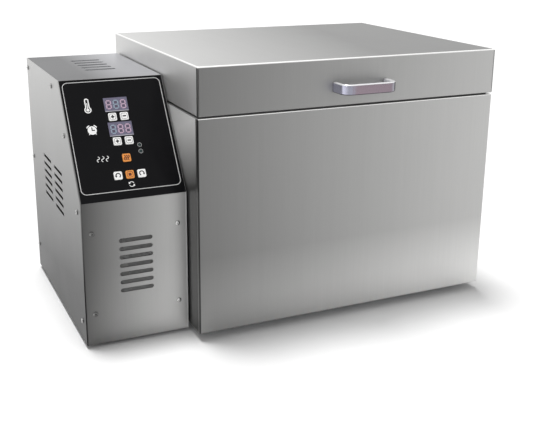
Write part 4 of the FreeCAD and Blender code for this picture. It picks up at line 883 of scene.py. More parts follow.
class Stencil:
    """Flat printed or moulded shapes in millimetres that become thin closed solids on a plane."""

    def __init__(self, plane: Matrix, low: float, high: float) -> None:
        """Start a stencil.

        Args:
            plane: plane that it lies on.
            low: height of its lower face above the plane.
            high: height of its upper face.
        """
        self.plane, self.heights = plane, (low, high)
        self.corners: list[Vector] = []
        self.faces: list[Sequence[int]] = []

    def _add(self, loop: Sequence[Point]) -> list[range]:
        """Add the corners of a loop.

        Args:
            loop: the loop's points.

        Returns:
            Numbers of the lower and of the upper corners.
        """
        made = []
        for height in self.heights:
            start = len(self.corners)
            self.corners += [self.plane @ (Vector((x, y, height)) * MM) for x, y in loop]
            made.append(range(start, len(self.corners)))
        return made

    def _walls(self, first: range, second: range) -> None:
        """Join two loops of corners."""
        for index, after in zip(range(len(first)), [*range(1, len(first)), 0]):
            self.faces.append((first[index], first[after], second[after], second[index]))

    def polygon(self, loop: Sequence[Point]) -> Stencil:
        """Add a solid shape with one outline.

        Args:
            loop: the outline's points.

        Returns:
            The stencil.
        """
        low, high = self._add(loop)
        self.faces += [tuple(reversed(low)), tuple(high)]
        self._walls(low, high)
        return self

    def band(self, outer: Sequence[Point], inner: Sequence[Point]) -> Stencil:
        """Add a closed band between two outlines with as many points.

        Args:
            outer: outline outside.
            inner: outline inside.

        Returns:
            The stencil.
        """
        low_out, high_out = self._add(outer)
        low_in, high_in = self._add(inner)
        for first, second in ((low_out, high_out), (high_out, high_in), (high_in, low_in), (low_in, low_out)):
            self._walls(first, second)
        return self

    def frame(self, size: Point, corner: float, width: float, steps: int, centre: Point) -> Stencil:
        """Add a line just inside a rectangle with round corners.

        Args:
            size: width and height of the rectangle.
            corner: radius of its corners.
            width: width of the line.
            steps: pieces of each corner's arc.
            centre: middle of the rectangle.

        Returns:
            The stencil.
        """
        inner = (size[0] - 2 * width, size[1] - 2 * width)
        return self.band(rounded_outline(size, corner, steps, centre),
                         rounded_outline(inner, corner - width, steps, centre))

    def bar(self, start: Point, end: Point, width: float) -> Stencil:
        """Add a straight stroke.

        Args:
            start: middle of its start.
            end: middle of its end.
            width: its width.

        Returns:
            The stencil.
        """
        way = Vector(end) - Vector(start)
        side = Vector((-way.y, way.x)).normalized() * (width / 2)
        ends = (Vector(start) - side, Vector(end) - side, Vector(end) + side, Vector(start) + side)
        return self.polygon([tuple(point) for point in ends])

    def ring(self, centre: Point, radius: float, width: float, steps: int = 28) -> Stencil:
        """Closed round stroke; the radius is its middle."""
        return self.band(circle(centre, radius + width / 2, steps), circle(centre, radius - width / 2, steps))

    def disc(self, centre: Point, radius: float, steps: int = 24) -> Stencil:
        """Round dot."""
        return self.polygon(circle(centre, radius, steps))

    def arc(self, centre: Point, radius: float, width: float, span: Point, steps: int = 14) -> Stencil:
        """Add an open round stroke.

        Args:
            centre: centre of the round.
            radius: radius of the stroke's middle.
            width: width of the stroke.
            span: degrees at which it starts and ends.
            steps: pieces of the arc.

        Returns:
            The stencil.
        """
        turns = [math.radians(span[0] + (span[1] - span[0]) * step / steps) for step in range(steps + 1)]
        outer, inner = [[(centre[0] + reach * math.cos(turn), centre[1] + reach * math.sin(turn)) for turn in turns]
                        for reach in (radius + width / 2, radius - width / 2)]
        return self.polygon(outer + inner[::-1])

    def wave(self, centre: Point, radius: float, width: float, spread: float = 0.0) -> Stencil:
        """Rising wave of two half rounds, set apart sideways by twice the spread."""
        self.arc((centre[0] - spread, centre[1] + radius), radius, width, (90.0, -90.0))
        return self.arc((centre[0] + spread, centre[1] - radius), radius, width, (90.0, 270.0))

    def piece(self, name: str, finish: Finish) -> bpy.types.Object:
        """The shapes as one object."""
        return make_object(name, make_mesh(name, self.corners, self.faces), finish)


# ---------------------------------------------------------------- Geometry Nodes
class CopyTree(Graph):
    """Geometry Nodes tree that puts copies of a shape on points, each with its own turn and stretch."""

    def __init__(self, name: str) -> None:
        """Build the tree.

        Args:
            name: name of the node group.
        """
        group = bpy.data.node_groups.new(name, "GeometryNodeTree")
        super().__init__(group)
        self.sockets = {label: group.interface.new_socket(label, in_out="INPUT", socket_type=kind).identifier
                        for label, kind in self.inputs().items()}
        group.interface.new_socket("Geometry", in_out="OUTPUT", socket_type="NodeSocketGeometry")
        entry = self.node("NodeGroupInput", output="Points")
        realised = self.node("GeometryNodeRealizeInstances", {}, {"Geometry": self.copies(entry)})
        placed = self.place(entry, realised)
        dressed = self.node("GeometryNodeSetMaterial", {}, {"Geometry": placed, "Material": entry.output("Finish")})
        self.node("NodeGroupOutput", {}, {"Geometry": dressed})

    def inputs(self) -> dict[str, str]:
        """Names and kinds of the tree's inputs."""
        return {"Points": "NodeSocketGeometry", "Copy": "NodeSocketObject", "Finish": "NodeSocketMaterial"}

    def attribute(self, name: str, kind: str = "FLOAT_VECTOR") -> Signal:
        """A named value that each point carries."""
        return self.node("GeometryNodeInputNamedAttribute", {"data_type": kind}, {"Name": name}, "Attribute")

    def instances(self, entry: Signal, label: str, chosen: Signal | bool = True) -> Signal:
        """Put copies of one input object on points.

        Args:
            entry: the tree's points.
            label: name of the input that holds the object.
            chosen: which points get a copy.

        Returns:
            The instances.
        """
        shape = self.node("GeometryNodeObjectInfo", {}, {"Object": entry.output(label)}, "Geometry")
        turn = self.node("FunctionNodeEulerToRotation", {}, {"Euler": self.attribute("turn")})
        return self.node("GeometryNodeInstanceOnPoints", {},
                         {"Points": entry, "Selection": chosen, "Instance": shape, "Rotation": turn,
                          "Scale": self.attribute("stretch")})

    def copies(self, entry: Signal) -> Signal:
        """All copies."""
        return self.instances(entry, "Copy")

    def place(self, entry: Signal, geometry: Signal) -> Signal:
        """Last move of the realised copies."""
        return geometry

    def run(self, name: str, points: Sequence[Sequence[float]], turns: Sequence[Sequence[float]],
            values: dict[str, object], stretches: Sequence[Sequence[float]] | None = None,
            marks: Sequence[float] | None = None) -> bpy.types.Object:
        """Evaluate the tree and keep its result as a plain mesh.

        Args:
            name: name of the object.
            points: places of the copies.
            turns: Euler angles of each copy.
            values: what the tree's named inputs get.
            stretches: scale of each copy, if they are stretched.
            marks: a number on each point, for trees that choose by it.

        Returns:
            Object at the origin, without modifiers.
        """
        mesh = bpy.data.meshes.new(name)
        mesh.from_pydata([tuple(point) for point in points], [], [])
        for label, rows in (("turn", turns), ("stretch", stretches or [UNSTRETCHED] * len(points))):
            made = mesh.attributes.new(label, "FLOAT_VECTOR", "POINT")
            made.data.foreach_set("vector", np.array(rows, np.float32).ravel())
        if marks is not None:
            mesh.attributes.new("mark", "FLOAT", "POINT").data.foreach_set("value", np.array(marks, np.float32))
        host = make_object(name, mesh)
        modifier = host.modifiers.new("copies", "NODES")
        modifier.node_group = self.tree
        for label, value in values.items():
            modifier[self.sockets[label]] = value
        host.data = applied(host)
        host.data.name = name
        host.modifiers.remove(modifier)
        return host


class PairTree(CopyTree):
    """Tree with two shapes: the first on the points that are marked, the second on the others."""

    def inputs(self) -> dict[str, str]:
        """Names and kinds of the tree's inputs."""
        return super().inputs() | {"Second copy": "NodeSocketObject"}

    def copies(self, entry: Signal) -> Signal:
        """Put both shapes on their points.

        Args:
            entry: the tree's points.

        Returns:
            The instances of both.
        """
        mark = self.attribute("mark", "FLOAT")
        chosen = {"Copy": mark.above(0.5), "Second copy": (1.0 - mark).above(0.5)}
        both = [self.instances(entry, label, where) for label, where in chosen.items()]
        return self.node("GeometryNodeJoinGeometry", {}, {"Geometry": both})


class DrumSheetTree(PairTree):
    """Tree that lays open and plain cells side by side and rolls them into a tube along X."""

    def inputs(self) -> dict[str, str]:
        """Names and kinds of the tree's inputs."""
        sizes = ("Radius", "Axis depth", "Axis height", "Weld")
        return super().inputs() | {label: "NodeSocketFloat" for label in sizes}

    def place(self, entry: Signal, geometry: Signal) -> Signal:
        """Roll the flat sheet: Y is an angle in radians and Z the height over the tube's radius.

        Args:
            entry: the tree's inputs.
            geometry: the flat cells.

        Returns:
            The tube, with its cells joined.
        """
        x, angle, height = self.split(self.node("GeometryNodeInputPosition"))
        reach = height + entry.output("Radius")
        y = reach * angle.math("SINE") + entry.output("Axis depth")
        z = reach * angle.math("COSINE") + entry.output("Axis height")
        rolled = self.node("ShaderNodeCombineXYZ", {}, {"X": x, "Y": y, "Z": z})
        moved = self.node("GeometryNodeSetPosition", {}, {"Geometry": geometry, "Position": rolled})
        weld = {"Geometry": moved, "Distance": entry.output("Weld")}
        return self.node("GeometryNodeMergeByDistance", {}, weld)


# ---------------------------------------------------------------- fasteners
@dataclass
class Fasteners:
    """Pan-head screws with cross recesses, in the places of the frame's plain ones."""

    head_radius: float = 3.7 * MM
    head_height: float = 2.0 * MM
    crown: tuple[Point, ...] = ((1.0, 0.0), (1.0, 0.35), (0.94, 0.66), (0.78, 0.88), (0.55, 1.0))
    shank_radius: float = 2.0 * MM
    shank_length: float = 7.0 * MM
    recess_reach: float = 1.9 * MM
    recess_width: float = 0.85 * MM
    recess_depth: float = 1.1 * MM
    recess_clear: float = 0.2 * MM
    recess_taper: float = 0.55
    segments: int = 20
    smooth: float = 40.0
    spin: float = 37.0

    def head(self) -> bpy.types.Object:
        """Screw with its seat at Z 0, its head upwards and its recess cut.

        Returns:
            The screw.
        """
        profile = [(self.shank_radius, -self.shank_length), (self.shank_radius, 0.0)]
        profile += [(wide * self.head_radius, high * self.head_height) for wide, high in self.crown]
        corners = [(x, y, z) for radius, z in profile for x, y in circle((0.0, 0.0), radius, self.segments)]
        blank = make_object("screw_blank", make_mesh("screw_blank", corners, tube_faces(len(profile), self.segments)))
        cutter = self.cutter()
        blank.modifiers.new("recess", "BOOLEAN").object = cutter
        mesh = applied(blank)
        shade(mesh, self.smooth)
        remove(blank, cutter)
        return make_object("screw_shape", mesh)

    def cutter(self) -> bpy.types.Object:
        """Tapered cross that is taken out of a head.

        Returns:
            The cross.
        """
        reach, half = self.recess_reach, self.recess_width / 2
        outline = [(reach, -half), (reach, half), (half, half), (half, reach), (-half, reach), (-half, half),
                   (-reach, half), (-reach, -half), (-half, -half), (-half, -reach), (half, -reach), (half, -half)]
        levels = ((1.0, self.recess_clear), (self.recess_taper, -self.recess_depth))
        corners = [(x * share, y * share, self.head_height + z) for share, z in levels for x, y in outline]
        return make_object("recess", make_mesh("recess", corners, tube_faces(2, len(outline))))

    def seats(self, node: str) -> tuple[list[Vector], list[Vector]]:
        """Find the screws of a CAD node.

        Args:
            node: name of the node.

        Returns:
            Seat and Euler turn of each screw, with the recesses at different angles.
        """
        places, turns = [], []
        for index, corners in enumerate(solids_of(node)):
            low, high = corners.min(axis=0), corners.max(axis=0)
            middle = (low + high) / 2
            axis = int(np.argmax(high - low))
            others = [side for side in range(3) if side != axis]
            reach = np.hypot(*(corners[:, others] - middle[others]).T)
            outward = float(np.sign(corners[reach > 0.9 * reach.max(), axis].mean() - middle[axis]))
            seat = middle.copy()
            seat[axis] = (high if outward > 0 else low)[axis] - outward * self.head_height
            way = Vector((0.0, 0.0, 0.0))
            way[axis] = outward
            spin = Matrix.Rotation(math.radians(self.spin * index), 4, "Z")
            places.append(Vector(seat))
            turns.append((way.to_track_quat("Z", "Y").to_matrix().to_4x4() @ spin).to_euler())
        return places, turns

    def build(self) -> None:
        """Replace the screws of every body."""
        tree, shape = CopyTree("screw_copies"), self.head()
        for name, node, body in (("casing_screws", "case_screws", "base"), ("box_screws", "control_screws", "base"),
                                 ("lid_cap_screws", "lid_screws", "lid")):
            made = tree.run(name, *self.seats(node), {"Copy": shape, "Finish": material(SCREW)})
            add_piece(made, body, "screw_steel", (node,))
        remove(shape)


# ---------------------------------------------------------------- sub-assemblies
@dataclass
class Casing:
    """Skins, deck, base, feet, gasket and hinge leaves of the roasting body."""

    def build(self) -> None:
        """Dress the casing."""
        dress({"front_panel": FRONT_SKIN, "rear_panel": REAR_SKIN, "left_side_panel": LEFT_SKIN,
               "right_side_panel": RIGHT_SKIN, "base_plate": GALVANISED, "top_deck": DECK, "lid_gasket": GASKET,
               "rubber_feet": RUBBER, "hinge_body_leaves": TURNED, "hinge_pins": TURNED, "heat_spacers": CERAMIC})


@dataclass
class Well:
    """Heated well with its heaters, probe, bearings and drive."""

    def build(self) -> None:
        """Dress the well and the drive."""
        dress({"drum_well": WELL, "well_end_left": WELL, "well_end_right": WELL, "well_insulation": WOOL,
               "tube_heaters": SHEATH, "heater_ferrules": BRASS, "heater_saddles": WELL,
               "temperature_probe": TURNED, "drum_cradles": WELL, "shaft_bush": BRASS, "drive_shaft": TURNED,
               "motor_bracket": GALVANISED, "gear_motor": MOTOR})


@dataclass
class Drum:
    """Lift-out drum: a perforated shell with a doorway, its heads, vanes, rails and sliding door."""

    radius: float = 138.0 * MM
    sheet: float = 1.0 * MM
    half_length: float = 172.0 * MM
    doorway_half: float = 80.0 * MM
    doorway_angle: float = 21.0
    door_rows: int = 20
    end_rows: int = 11
    door_columns: int = 12
    other_columns: int = 96
    border_cells: int = 2
    hole_share: float = 0.26
    weld: float = 0.01 * MM
    smooth: float = 30.0

    def cell(self, name: str, hole: bool) -> bpy.types.Object:
        """Make a flat cell of the sheet, one unit wide both ways.

        Args:
            name: name of the object.
            hole: whether it has a hole.

        Returns:
            The cell.
        """
        rim = [(0.5, 0.0), (0.5, 0.5), (0.0, 0.5), (-0.5, 0.5), (-0.5, 0.0), (-0.5, -0.5), (0.0, -0.5), (0.5, -0.5)]
        count = len(rim)
        loop = rim + (circle((0.0, 0.0), self.hole_share, count) if hole else [])
        low = len(loop)
        corners = [(x, y, height) for height in (0.0, -self.sheet) for x, y in loop]
        faces = [] if hole else [tuple(range(count)), tuple(range(low, low + count))[::-1]]
        for step in range(count) if hole else ():
            after = (step + 1) % count
            faces += [(step, after, after + count, step + count),
                      (low + step, low + step + count, low + after + count, low + after),
                      (step + count, after + count, low + after + count, low + step + count)]
        mesh = bpy.data.meshes.new(name)
        mesh.from_pydata(corners, [], faces)
        return make_object(name, mesh)

    def spans(self) -> tuple[list[Point], list[Point]]:
        """Divide the sheet into cells.

        Returns:
            Edges of the rows of cells along the drum and, in radians, of the columns round it.
        """
        rows = np.concatenate([np.linspace(-self.half_length, -self.doorway_half, self.end_rows + 1)[:-1],
                               np.linspace(-self.doorway_half, self.doorway_half, self.door_rows + 1)[:-1],
                               np.linspace(self.doorway_half, self.half_length, self.end_rows + 1)])
        edge = math.radians(self.doorway_angle)
        columns = np.concatenate([np.linspace(-edge, edge, self.door_columns + 1)[:-1],
                                  np.linspace(edge, 2 * math.pi - edge, self.other_columns + 1)])
        return list(zip(rows, rows[1:])), list(zip(columns, columns[1:]))

    def shell(self) -> bpy.types.Object:
        """Perforated shell with a plain frame round its doorway and plain edges.

        Returns:
            The shell.
        """
        low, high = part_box("drum_shell")
        middle = (low + high) / 2
        rows, columns = self.spans()
        places, stretches, marks = [], [], []
        door_rows = range(self.end_rows, self.end_rows + self.door_rows)
        for row, (start, end) in enumerate(rows):
            for column, (first, last) in enumerate(columns):
                if row in door_rows and column < self.door_columns:
                    continue
                places.append((middle.x + (start + end) / 2, (first + last) / 2, 0.0))
                stretches.append((end - start, last - first, 1.0))
                marks.append(float(self.is_open(row, column, len(rows), len(columns))))
        shapes = {"Copy": self.cell("open_cell", True), "Second copy": self.cell("plain_cell", False)}
        values = shapes | {"Finish": material(DRUM), "Radius": self.radius, "Axis depth": middle.y,
                           "Axis height": middle.z, "Weld": self.weld}
        unturned = [(0.0, 0.0, 0.0)] * len(places)
        made = DrumSheetTree("rolled_sheet").run("perforated_shell", places, unturned, values, stretches, marks)
        remove(*shapes.values())
        self.close_edges(made.data, middle)
        shade(made.data, self.smooth)
        return made

    def is_open(self, row: int, column: int, rows: int, columns: int) -> bool:
        """Whether a cell has a hole: every second one, away from edges and the doorway's frame.

        Args:
            row: the cell's row.
            column: the cell's column.
            rows: number of rows.
            columns: number of columns.

        Returns:
            True for a cell with a hole.
        """
        edge = self.border_cells
        if (row + column) % 2 or not edge <= row < rows - edge:
            return False
        near_door = self.end_rows - edge <= row < self.end_rows + self.door_rows + edge
        return not near_door or self.door_columns + edge <= column < columns - edge

    def close_edges(self, mesh: bpy.types.Mesh, axis: Vector) -> None:
        """Close the sheet's cut edges between its outer and inner faces.

        Args:
            mesh: the rolled sheet.
            axis: a point on the drum's axis.
        """
        work = bmesh.new()
        work.from_mesh(mesh)
        cut = [edge for edge in work.edges if edge.is_boundary]
        partners = {}
        for corner in {corner for edge in cut for corner in edge.verts}:
            y, z = corner.co.y - axis.y, corner.co.z - axis.z
            reach = math.hypot(y, z)
            key = (round(corner.co.x, 5), round(y / reach, 4), round(z / reach, 4))
            partners.setdefault(key, {})[reach > self.radius - self.sheet / 2] = corner
        inner_of = {pair[True]: pair[False] for pair in partners.values() if len(pair) == 2}
        for edge in cut:
            if all(corner in inner_of for corner in edge.verts):
                start, end = edge.verts
                work.faces.new((start, end, inner_of[end], inner_of[start]))
        bmesh.ops.recalc_face_normals(work, faces=work.faces)
        work.to_mesh(mesh)
        work.free()

    def build(self) -> None:
        """Build the shell and dress the other pieces."""
        add_piece(self.shell(), "drum", "drum_steel", ("drum_shell",))
        dress({"drum_ends": DRUM, "drum_vanes": DRUM, "door_rails": DRUM, "drum_journals": TURNED,
               "drum_door": DRUM, "door_pull": TURNED})


@dataclass
class Lid:
    """Insulated lid with its bow handle and hinge leaves."""

    thickness: float = 7.0 * MM
    bend: float = 13.0 * MM
    edge: float = 2.4 * MM
    edge_steps: int = 5
    bend_steps: int = 14
    smooth: float = 40.0

    def handle(self) -> bpy.types.Object:
        """Bow handle: a strip with soft edges, swept round two bends.

        Returns:
            The handle.
        """
        low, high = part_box("lid_handle")
        z, bar = (low.z + high.z) / 2, low.y + self.thickness / 2
        left, right = low.x + self.thickness / 2, high.x - self.thickness / 2
        stations = [(Vector((left, high.y, z)), Vector((0.0, -1.0, 0.0)))]
        for centre, start in ((Vector((left + self.bend, bar + self.bend, z)), 180.0),
                              (Vector((right - self.bend, bar + self.bend, z)), 270.0)):
            for step in range(self.bend_steps + 1):
                turn = math.radians(start + 90.0 * step / self.bend_steps)
                out = Vector((math.cos(turn), math.sin(turn), 0.0))
                stations.append((centre + out * self.bend, Vector((-out.y, out.x, 0.0))))
        stations.append((Vector((right, high.y, z)), Vector((0.0, 1.0, 0.0))))
        profile = rounded_outline((self.thickness, high.z - low.z), self.edge, self.edge_steps)
        corners = [place + Vector((-way.y, way.x, 0.0)) * across + Vector((0.0, 0.0, up))
                   for place, way in stations for across, up in profile]
        faces = tube_faces(len(stations), len(profile))
        return make_object("bow_handle", make_mesh("bow_handle", corners, faces, self.smooth), HANDLE)

    def build(self) -> None:
        """Build the handle and dress the lid."""
        dress({"lid_skin": LID_SKIN, "lid_pan": WELL, "lid_insulation": WOOL, "hinge_lid_leaves": TURNED})
        add_piece(self.handle(), "lid", "polished_handle", ("lid_handle",))


class Sign(Enum):
    """Signs that are printed on the keys."""

    PLUS = "plus"
    MINUS = "minus"
    HEAT = "heat"
    STOP = "stop"
    LEFT = "turn left"
    RIGHT = "turn right"


class Key(Enum):
    """Keys of the panel: body's name, place on the panel in millimetres, and sign."""

    TEMPERATURE_UP = ("temperature_up", 69.05, -62.0, Sign.PLUS)
    TEMPERATURE_DOWN = ("temperature_down", 86.35, -62.0, Sign.MINUS)
    TIME_UP = ("time_up", 69.05, -100.0, Sign.PLUS)
    TIME_DOWN = ("time_down", 86.35, -100.0, Sign.MINUS)
    HEAT = ("heat", 77.7, -126.0, Sign.HEAT)
    DRUM_FORWARD = ("drum_forward", 60.4, -151.6, Sign.LEFT)
    DRUM_STOP = ("drum_stop", 77.7, -151.6, Sign.STOP)
    DRUM_REVERSE = ("drum_reverse", 95.0, -151.6, Sign.RIGHT)

    @property
    def body(self) -> str:
        """CAD body and node of the key."""
        return self.value[0] + "_key"

    @property
    def orange(self) -> bool:
        """Whether its cap is orange."""
        return self in (Key.HEAT, Key.DRUM_STOP)


@dataclass
class KeySigns:
    """Signs of the keys' own prints, in millimetres."""

    frame_size: float = 9.0
    frame_corner: float = 2.2
    frame_width: float = 0.5
    frame_steps: int = 4
    cross_reach: float = 2.5
    cross_width: float = 2.0
    wave_pitch: float = 2.8
    wave_radius: float = 1.7
    wave_width: float = 1.5
    wave_spread: float = 0.6
    stop_frame: tuple[Point, Point] = ((8.8, 2.0), (7.4, 1.4))
    stop_square: Point = (4.2, 0.4)
    stop_steps: int = 2
    turn_radius: float = 3.2
    turn_width: float = 1.6
    tip_place: Point = (3.0, -1.1)
    tip_shape: tuple[Point, ...] = ((1.9, 0.8), (-0.2, -1.9), (-1.7, 0.9))

    def draw(self, draw: Stencil, sign: Sign, x: float, y: float) -> None:
        """Draw one sign.

        Args:
            draw: stencil on the key's cap.
            sign: which sign.
            x: place to the right.
            y: place up the slope.
        """
        reach, half = self.cross_reach, self.cross_width / 2
        if sign in (Sign.PLUS, Sign.MINUS):
            size = (self.frame_size, self.frame_size)
            draw.frame(size, self.frame_corner, self.frame_width, self.frame_steps, (x, y))
            draw.bar((x - reach, y), (x + reach, y), self.cross_width)
            for end in (-1, 1) if sign is Sign.PLUS else ():
                draw.bar((x, y + end * half), (x, y + end * reach), self.cross_width)
        elif sign is Sign.HEAT:
            for step in (-1, 0, 1):
                place = (x + step * self.wave_pitch, y)
                draw.wave(place, self.wave_radius, self.wave_width, self.wave_spread)
        elif sign is Sign.STOP:
            draw.band(*[rounded_outline((size, size), corner, self.frame_steps, (x, y))
                        for size, corner in self.stop_frame])
            size, corner = self.stop_square
            draw.polygon(rounded_outline((size, size), corner, self.stop_steps, (x, y)))
        else:
            side = 1 if sign is Sign.RIGHT else -1
            span = (-20.0, 240.0) if sign is Sign.RIGHT else (-60.0, 200.0)
            draw.arc((x, y), self.turn_radius, self.turn_width, span, 20)
            tip = (x + side * self.tip_place[0], y + self.tip_place[1])
            draw.polygon([(tip[0] + side * across, tip[1] + up) for across, up in self.tip_shape])


@dataclass
class ControlBox:
    """Control box with its sloped key panel, displays and electrical pieces.

    Sizes on the panel are in millimetres from its top left corner, to the right and up the slope.
    """

    corner: Scales = (-328.0 * MM, -149.25 * MM, 219.0 * MM)
    run: float = 105.0
    rise: float = 155.0
    film: float = 0.6
    key_top: float = 1.7
    print_height: float = 0.05
    print_bite: float = 0.01
    border_size: Point = (146.0, 171.0)
    border_centre: Point = (77.5, -89.5)
    border_corner: float = 8.0
    border_width: float = 0.95
    border_steps: int = 8
    fine_line: float = 0.9
    thermometer: Point = (35.6, -41.6)
    clock: Point = (36.2, -80.0)
    waves: Point = (43.5, -124.5)
    wave_pitch: float = 6.5
    wave_radius: float = 1.9
    turning: Point = (77.7, -166.0)
    turning_radius: float = 3.6
    turning_span: float = 130.0
    turning_tip: float = 1.9
    lamp_column: float = 100.4
    lamp_rows: Point = (-108.0, -118.0)
    rim_radius: float = 2.95
    rim_width: float = 0.42
    display_column: float = 77.7
    display_rows: Point = (-42.5, -80.9)
    display_face: float = 0.45
    display_edge: Point = (17.3, -10.25)
    display_edge_width: float = 0.9
    digit: Point = (6.4, 12.4)
    digit_pitch: float = 10.8
    digit_margin: float = 0.8
    ground_depth: float = 0.02
    stroke: float = 1.9
    stroke_gap: float = 0.25

    def plane(self) -> Matrix:
        """Panel frame: X right, Y up the slope, Z outwards, with its origin at the top left."""
        foot = Matrix.Translation(self.corner) @ Matrix.Rotation(math.atan2(self.rise, self.run), 4, "X")
        return foot @ Matrix.Translation((0.0, math.hypot(self.run, self.rise) * MM, 0.0))

    def printed(self, face: float) -> Stencil:
        """Stencil for print on a face at some height over the panel's sheet."""
        return Stencil(self.plane(), face - self.print_bite, face + self.print_height)

    def draw_thermometer(self, draw: Stencil) -> None:
        """Draw a thermometer: a stem, a bulb and the liquid in both.

        Args:
            draw: stencil on the film.
        """
        x, y = self.thermometer
        stem, line, top, foot = 2.4, 1.6, 8.0, -3.4
        for side in (-stem, stem):
            draw.bar((x + side, y + top), (x + side, y + foot), line)
        bulb = (x, y - 6.8)
        draw.arc((x, y + top), stem, line, (0.0, 180.0)).arc(bulb, 4.3, line, (-236.0, 56.0), 24)
        draw.disc(bulb, 2.3).bar((x, y - 6.0), (x, y + 4.0), 1.2)

    def draw_clock(self, draw: Stencil) -> None:
        """Draw an alarm clock: a disc with two bells and two feet, and dark hands as a piece of their own.

        Args:
            draw: stencil on the film.
        """
        x, y = self.clock
        draw.disc((x, y), 6.5, 32)
        for side in (-1, 1):
            middle = 90.0 + 42.0 * side
            draw.arc((x, y), 8.2, 1.6, (middle - 19.0, middle + 19.0))
            draw.bar((x + side * 4.2, y - 4.9), (x + side * 5.1, y - 6.6), 1.2)
        hands = Stencil(self.plane(), self.film, self.film + 2 * self.print_height)
        hands.bar((x, y - 0.8), (x, y + 4.6), 1.5).bar((x + 0.7, y), (x + 4.0, y), 1.6)
        add_piece(hands.piece("clock_hands", SYMBOL), "base", "panel_film")

    def draw_turning(self, draw: Stencil) -> None:
        """Draw two arrows that follow each other round.

        Args:
            draw: stencil on the film.
        """
        x, y = self.turning
        for start in (20.0, 200.0):
            draw.arc((x, y), self.turning_radius, self.fine_line, (start, start + self.turning_span))
            tip = math.radians(start + self.turning_span)
            end = (x + self.turning_radius * math.cos(tip), y + self.turning_radius * math.sin(tip))
            reach = self.turning_tip
            draw.polygon([(end[0] + reach * math.cos(tip + turn), end[1] + reach * math.sin(tip + turn))
                          for turn in (math.pi / 2, math.pi * 1.15, -math.pi * 0.15)])

    def film_print(self) -> None:
        """Print the film: border, pictograms and the rims of the lamps."""
        border, draw, rims = [self.printed(self.film) for _ in range(3)]
        border.frame(self.border_size, self.border_corner, self.border_width, self.border_steps, self.border_centre)
        add_piece(border.piece("panel_border", BORDER), "base", "panel_film")
        self.draw_thermometer(draw)
        self.draw_clock(draw)
        for step in (-1, 0, 1):
            draw.wave((self.waves[0] + step * self.wave_pitch, self.waves[1]), self.wave_radius, self.fine_line)
        self.draw_turning(draw)
        add_piece(draw.piece("panel_pictograms", PRINT), "base", "panel_film")
        for row in self.lamp_rows:
            rims.ring((self.lamp_column, row), self.rim_radius, self.rim_width)
        add_piece(rims.piece("lamp_rims", BORDER), "base", "panel_film")

    def key_print(self) -> None:
        """Print the keys, one piece on each."""
        for key in Key:
            name, x, y, sign = key.value
            draw = self.printed(self.key_top)
            KeySigns().draw(draw, sign, x, y)
            made = draw.piece(name + "_symbol", EMBER if key.orange else SYMBOL)
            add_piece(made, key.body, "key_orange" if key.orange else "key_white")

    def display_print(self) -> None:
        """Dark ground behind each digit, and a painted highlight along the lower edge of each display."""
        plane, depth = self.plane(), self.ground_depth
        ground, edges = [Stencil(plane, self.display_face - depth, self.display_face + depth) for _ in range(2)]
        size = (self.digit[0] + 2 * self.digit_margin, self.digit[1] + 2 * self.digit_margin)
        for row in self.display_rows:
            for step in (-1, 0, 1):
                middle = (self.display_column + step * self.digit_pitch, row)
                ground.polygon(rounded_outline(size, self.digit_margin, 3, middle))
            # Painted highlight along the display's lower edge.
            reach, low = self.display_edge[0], row + self.display_edge[1]
            edges.bar((self.display_column - reach, low), (self.display_column + reach, low),
                      self.display_edge_width)
        add_piece(ground.piece("digit_ground", DIGIT_GROUND), "base", "display_lens")
        add_piece(edges.piece("display_edges", DISPLAY_EDGE_HIGHLIGHT), "base", "display_lens")

    def digits(self) -> None:
        """Lit bars of the two three-digit displays, which show every bar, as when the box is switched on."""
        wide, tall = self.digit[0] / 2, self.digit[1] / 2
        strokes = [(0.0, row, 0.0) for row in (-tall, 0.0, tall)]
        strokes += [(side, row, 90.0) for side in (-wide, wide) for row in (-tall / 2, tall / 2)]
        half, reach = self.stroke / 2, wide - self.stroke_gap
        shape = Stencil(Matrix.Identity(4), -self.print_bite, self.print_height).polygon(
            [(-reach, 0.0), (-reach + half, -half), (reach - half, -half), (reach, 0.0), (reach - half, half),
             (-reach + half, half)]).piece("digit_bar", LIT_PINK)
        plane, tree = self.plane(), CopyTree("digit_copies")
        for name, finish, chosen in (("pink_digits", LIT_PINK, ((0, -1), (0, 1), (1, 0), (1, 1))),
                                     ("teal_digits", LIT_TEAL, ((0, 0), (1, -1)))):
            places, turns = [], []
            for line, step in chosen:
                for x, y, turn in strokes:
                    place = (self.display_column + step * self.digit_pitch + x, y + self.display_rows[line],
                             self.display_face)
                    places.append(plane @ (Vector(place) * MM))
                    turns.append((plane @ Matrix.Rotation(math.radians(turn), 4, "Z")).to_euler())
            made = tree.run(name, places, turns, {"Copy": shape, "Finish": material(finish)})
            add_piece(made, "base", "display_lens")
        remove(shape)

    def build(self) -> None:
        """Dress the box and print its panel."""
        dress({"control_shell": BOX_SHELL, "control_cover": BOX_SIDE, "control_front": BOX_FRONT,
               "cable_gland": NYLON, "heater_relay": NYLON, "terminal_block": CERAMIC, "panel_overlay": FILM,
               "panel_displays": DISPLAY, "panel_lamps": LAMP, "control_board": BOARD,
               "board_standoffs": BRASS, "key_switches": NYLON})
        dress({key.body: KEY_ORANGE if key.orange else KEY_WHITE for key in Key})
        for part in (self.film_print, self.key_print, self.display_print, self.digits):
            part()


class Vent(Enum):
    """Groups of vents that are screened inside: piece, middle and half size in millimetres, and outward direction."""

    FRONT = ("front_vent_screen", (-250.5, -147.55, 120.3), (31.0, 45.0), (0.0, -1.0, 0.0))
    TOP = ("top_vent_screen", (-244.5, 86.75, 372.3), (30.0, 58.0), (0.0, 0.0, 1.0))


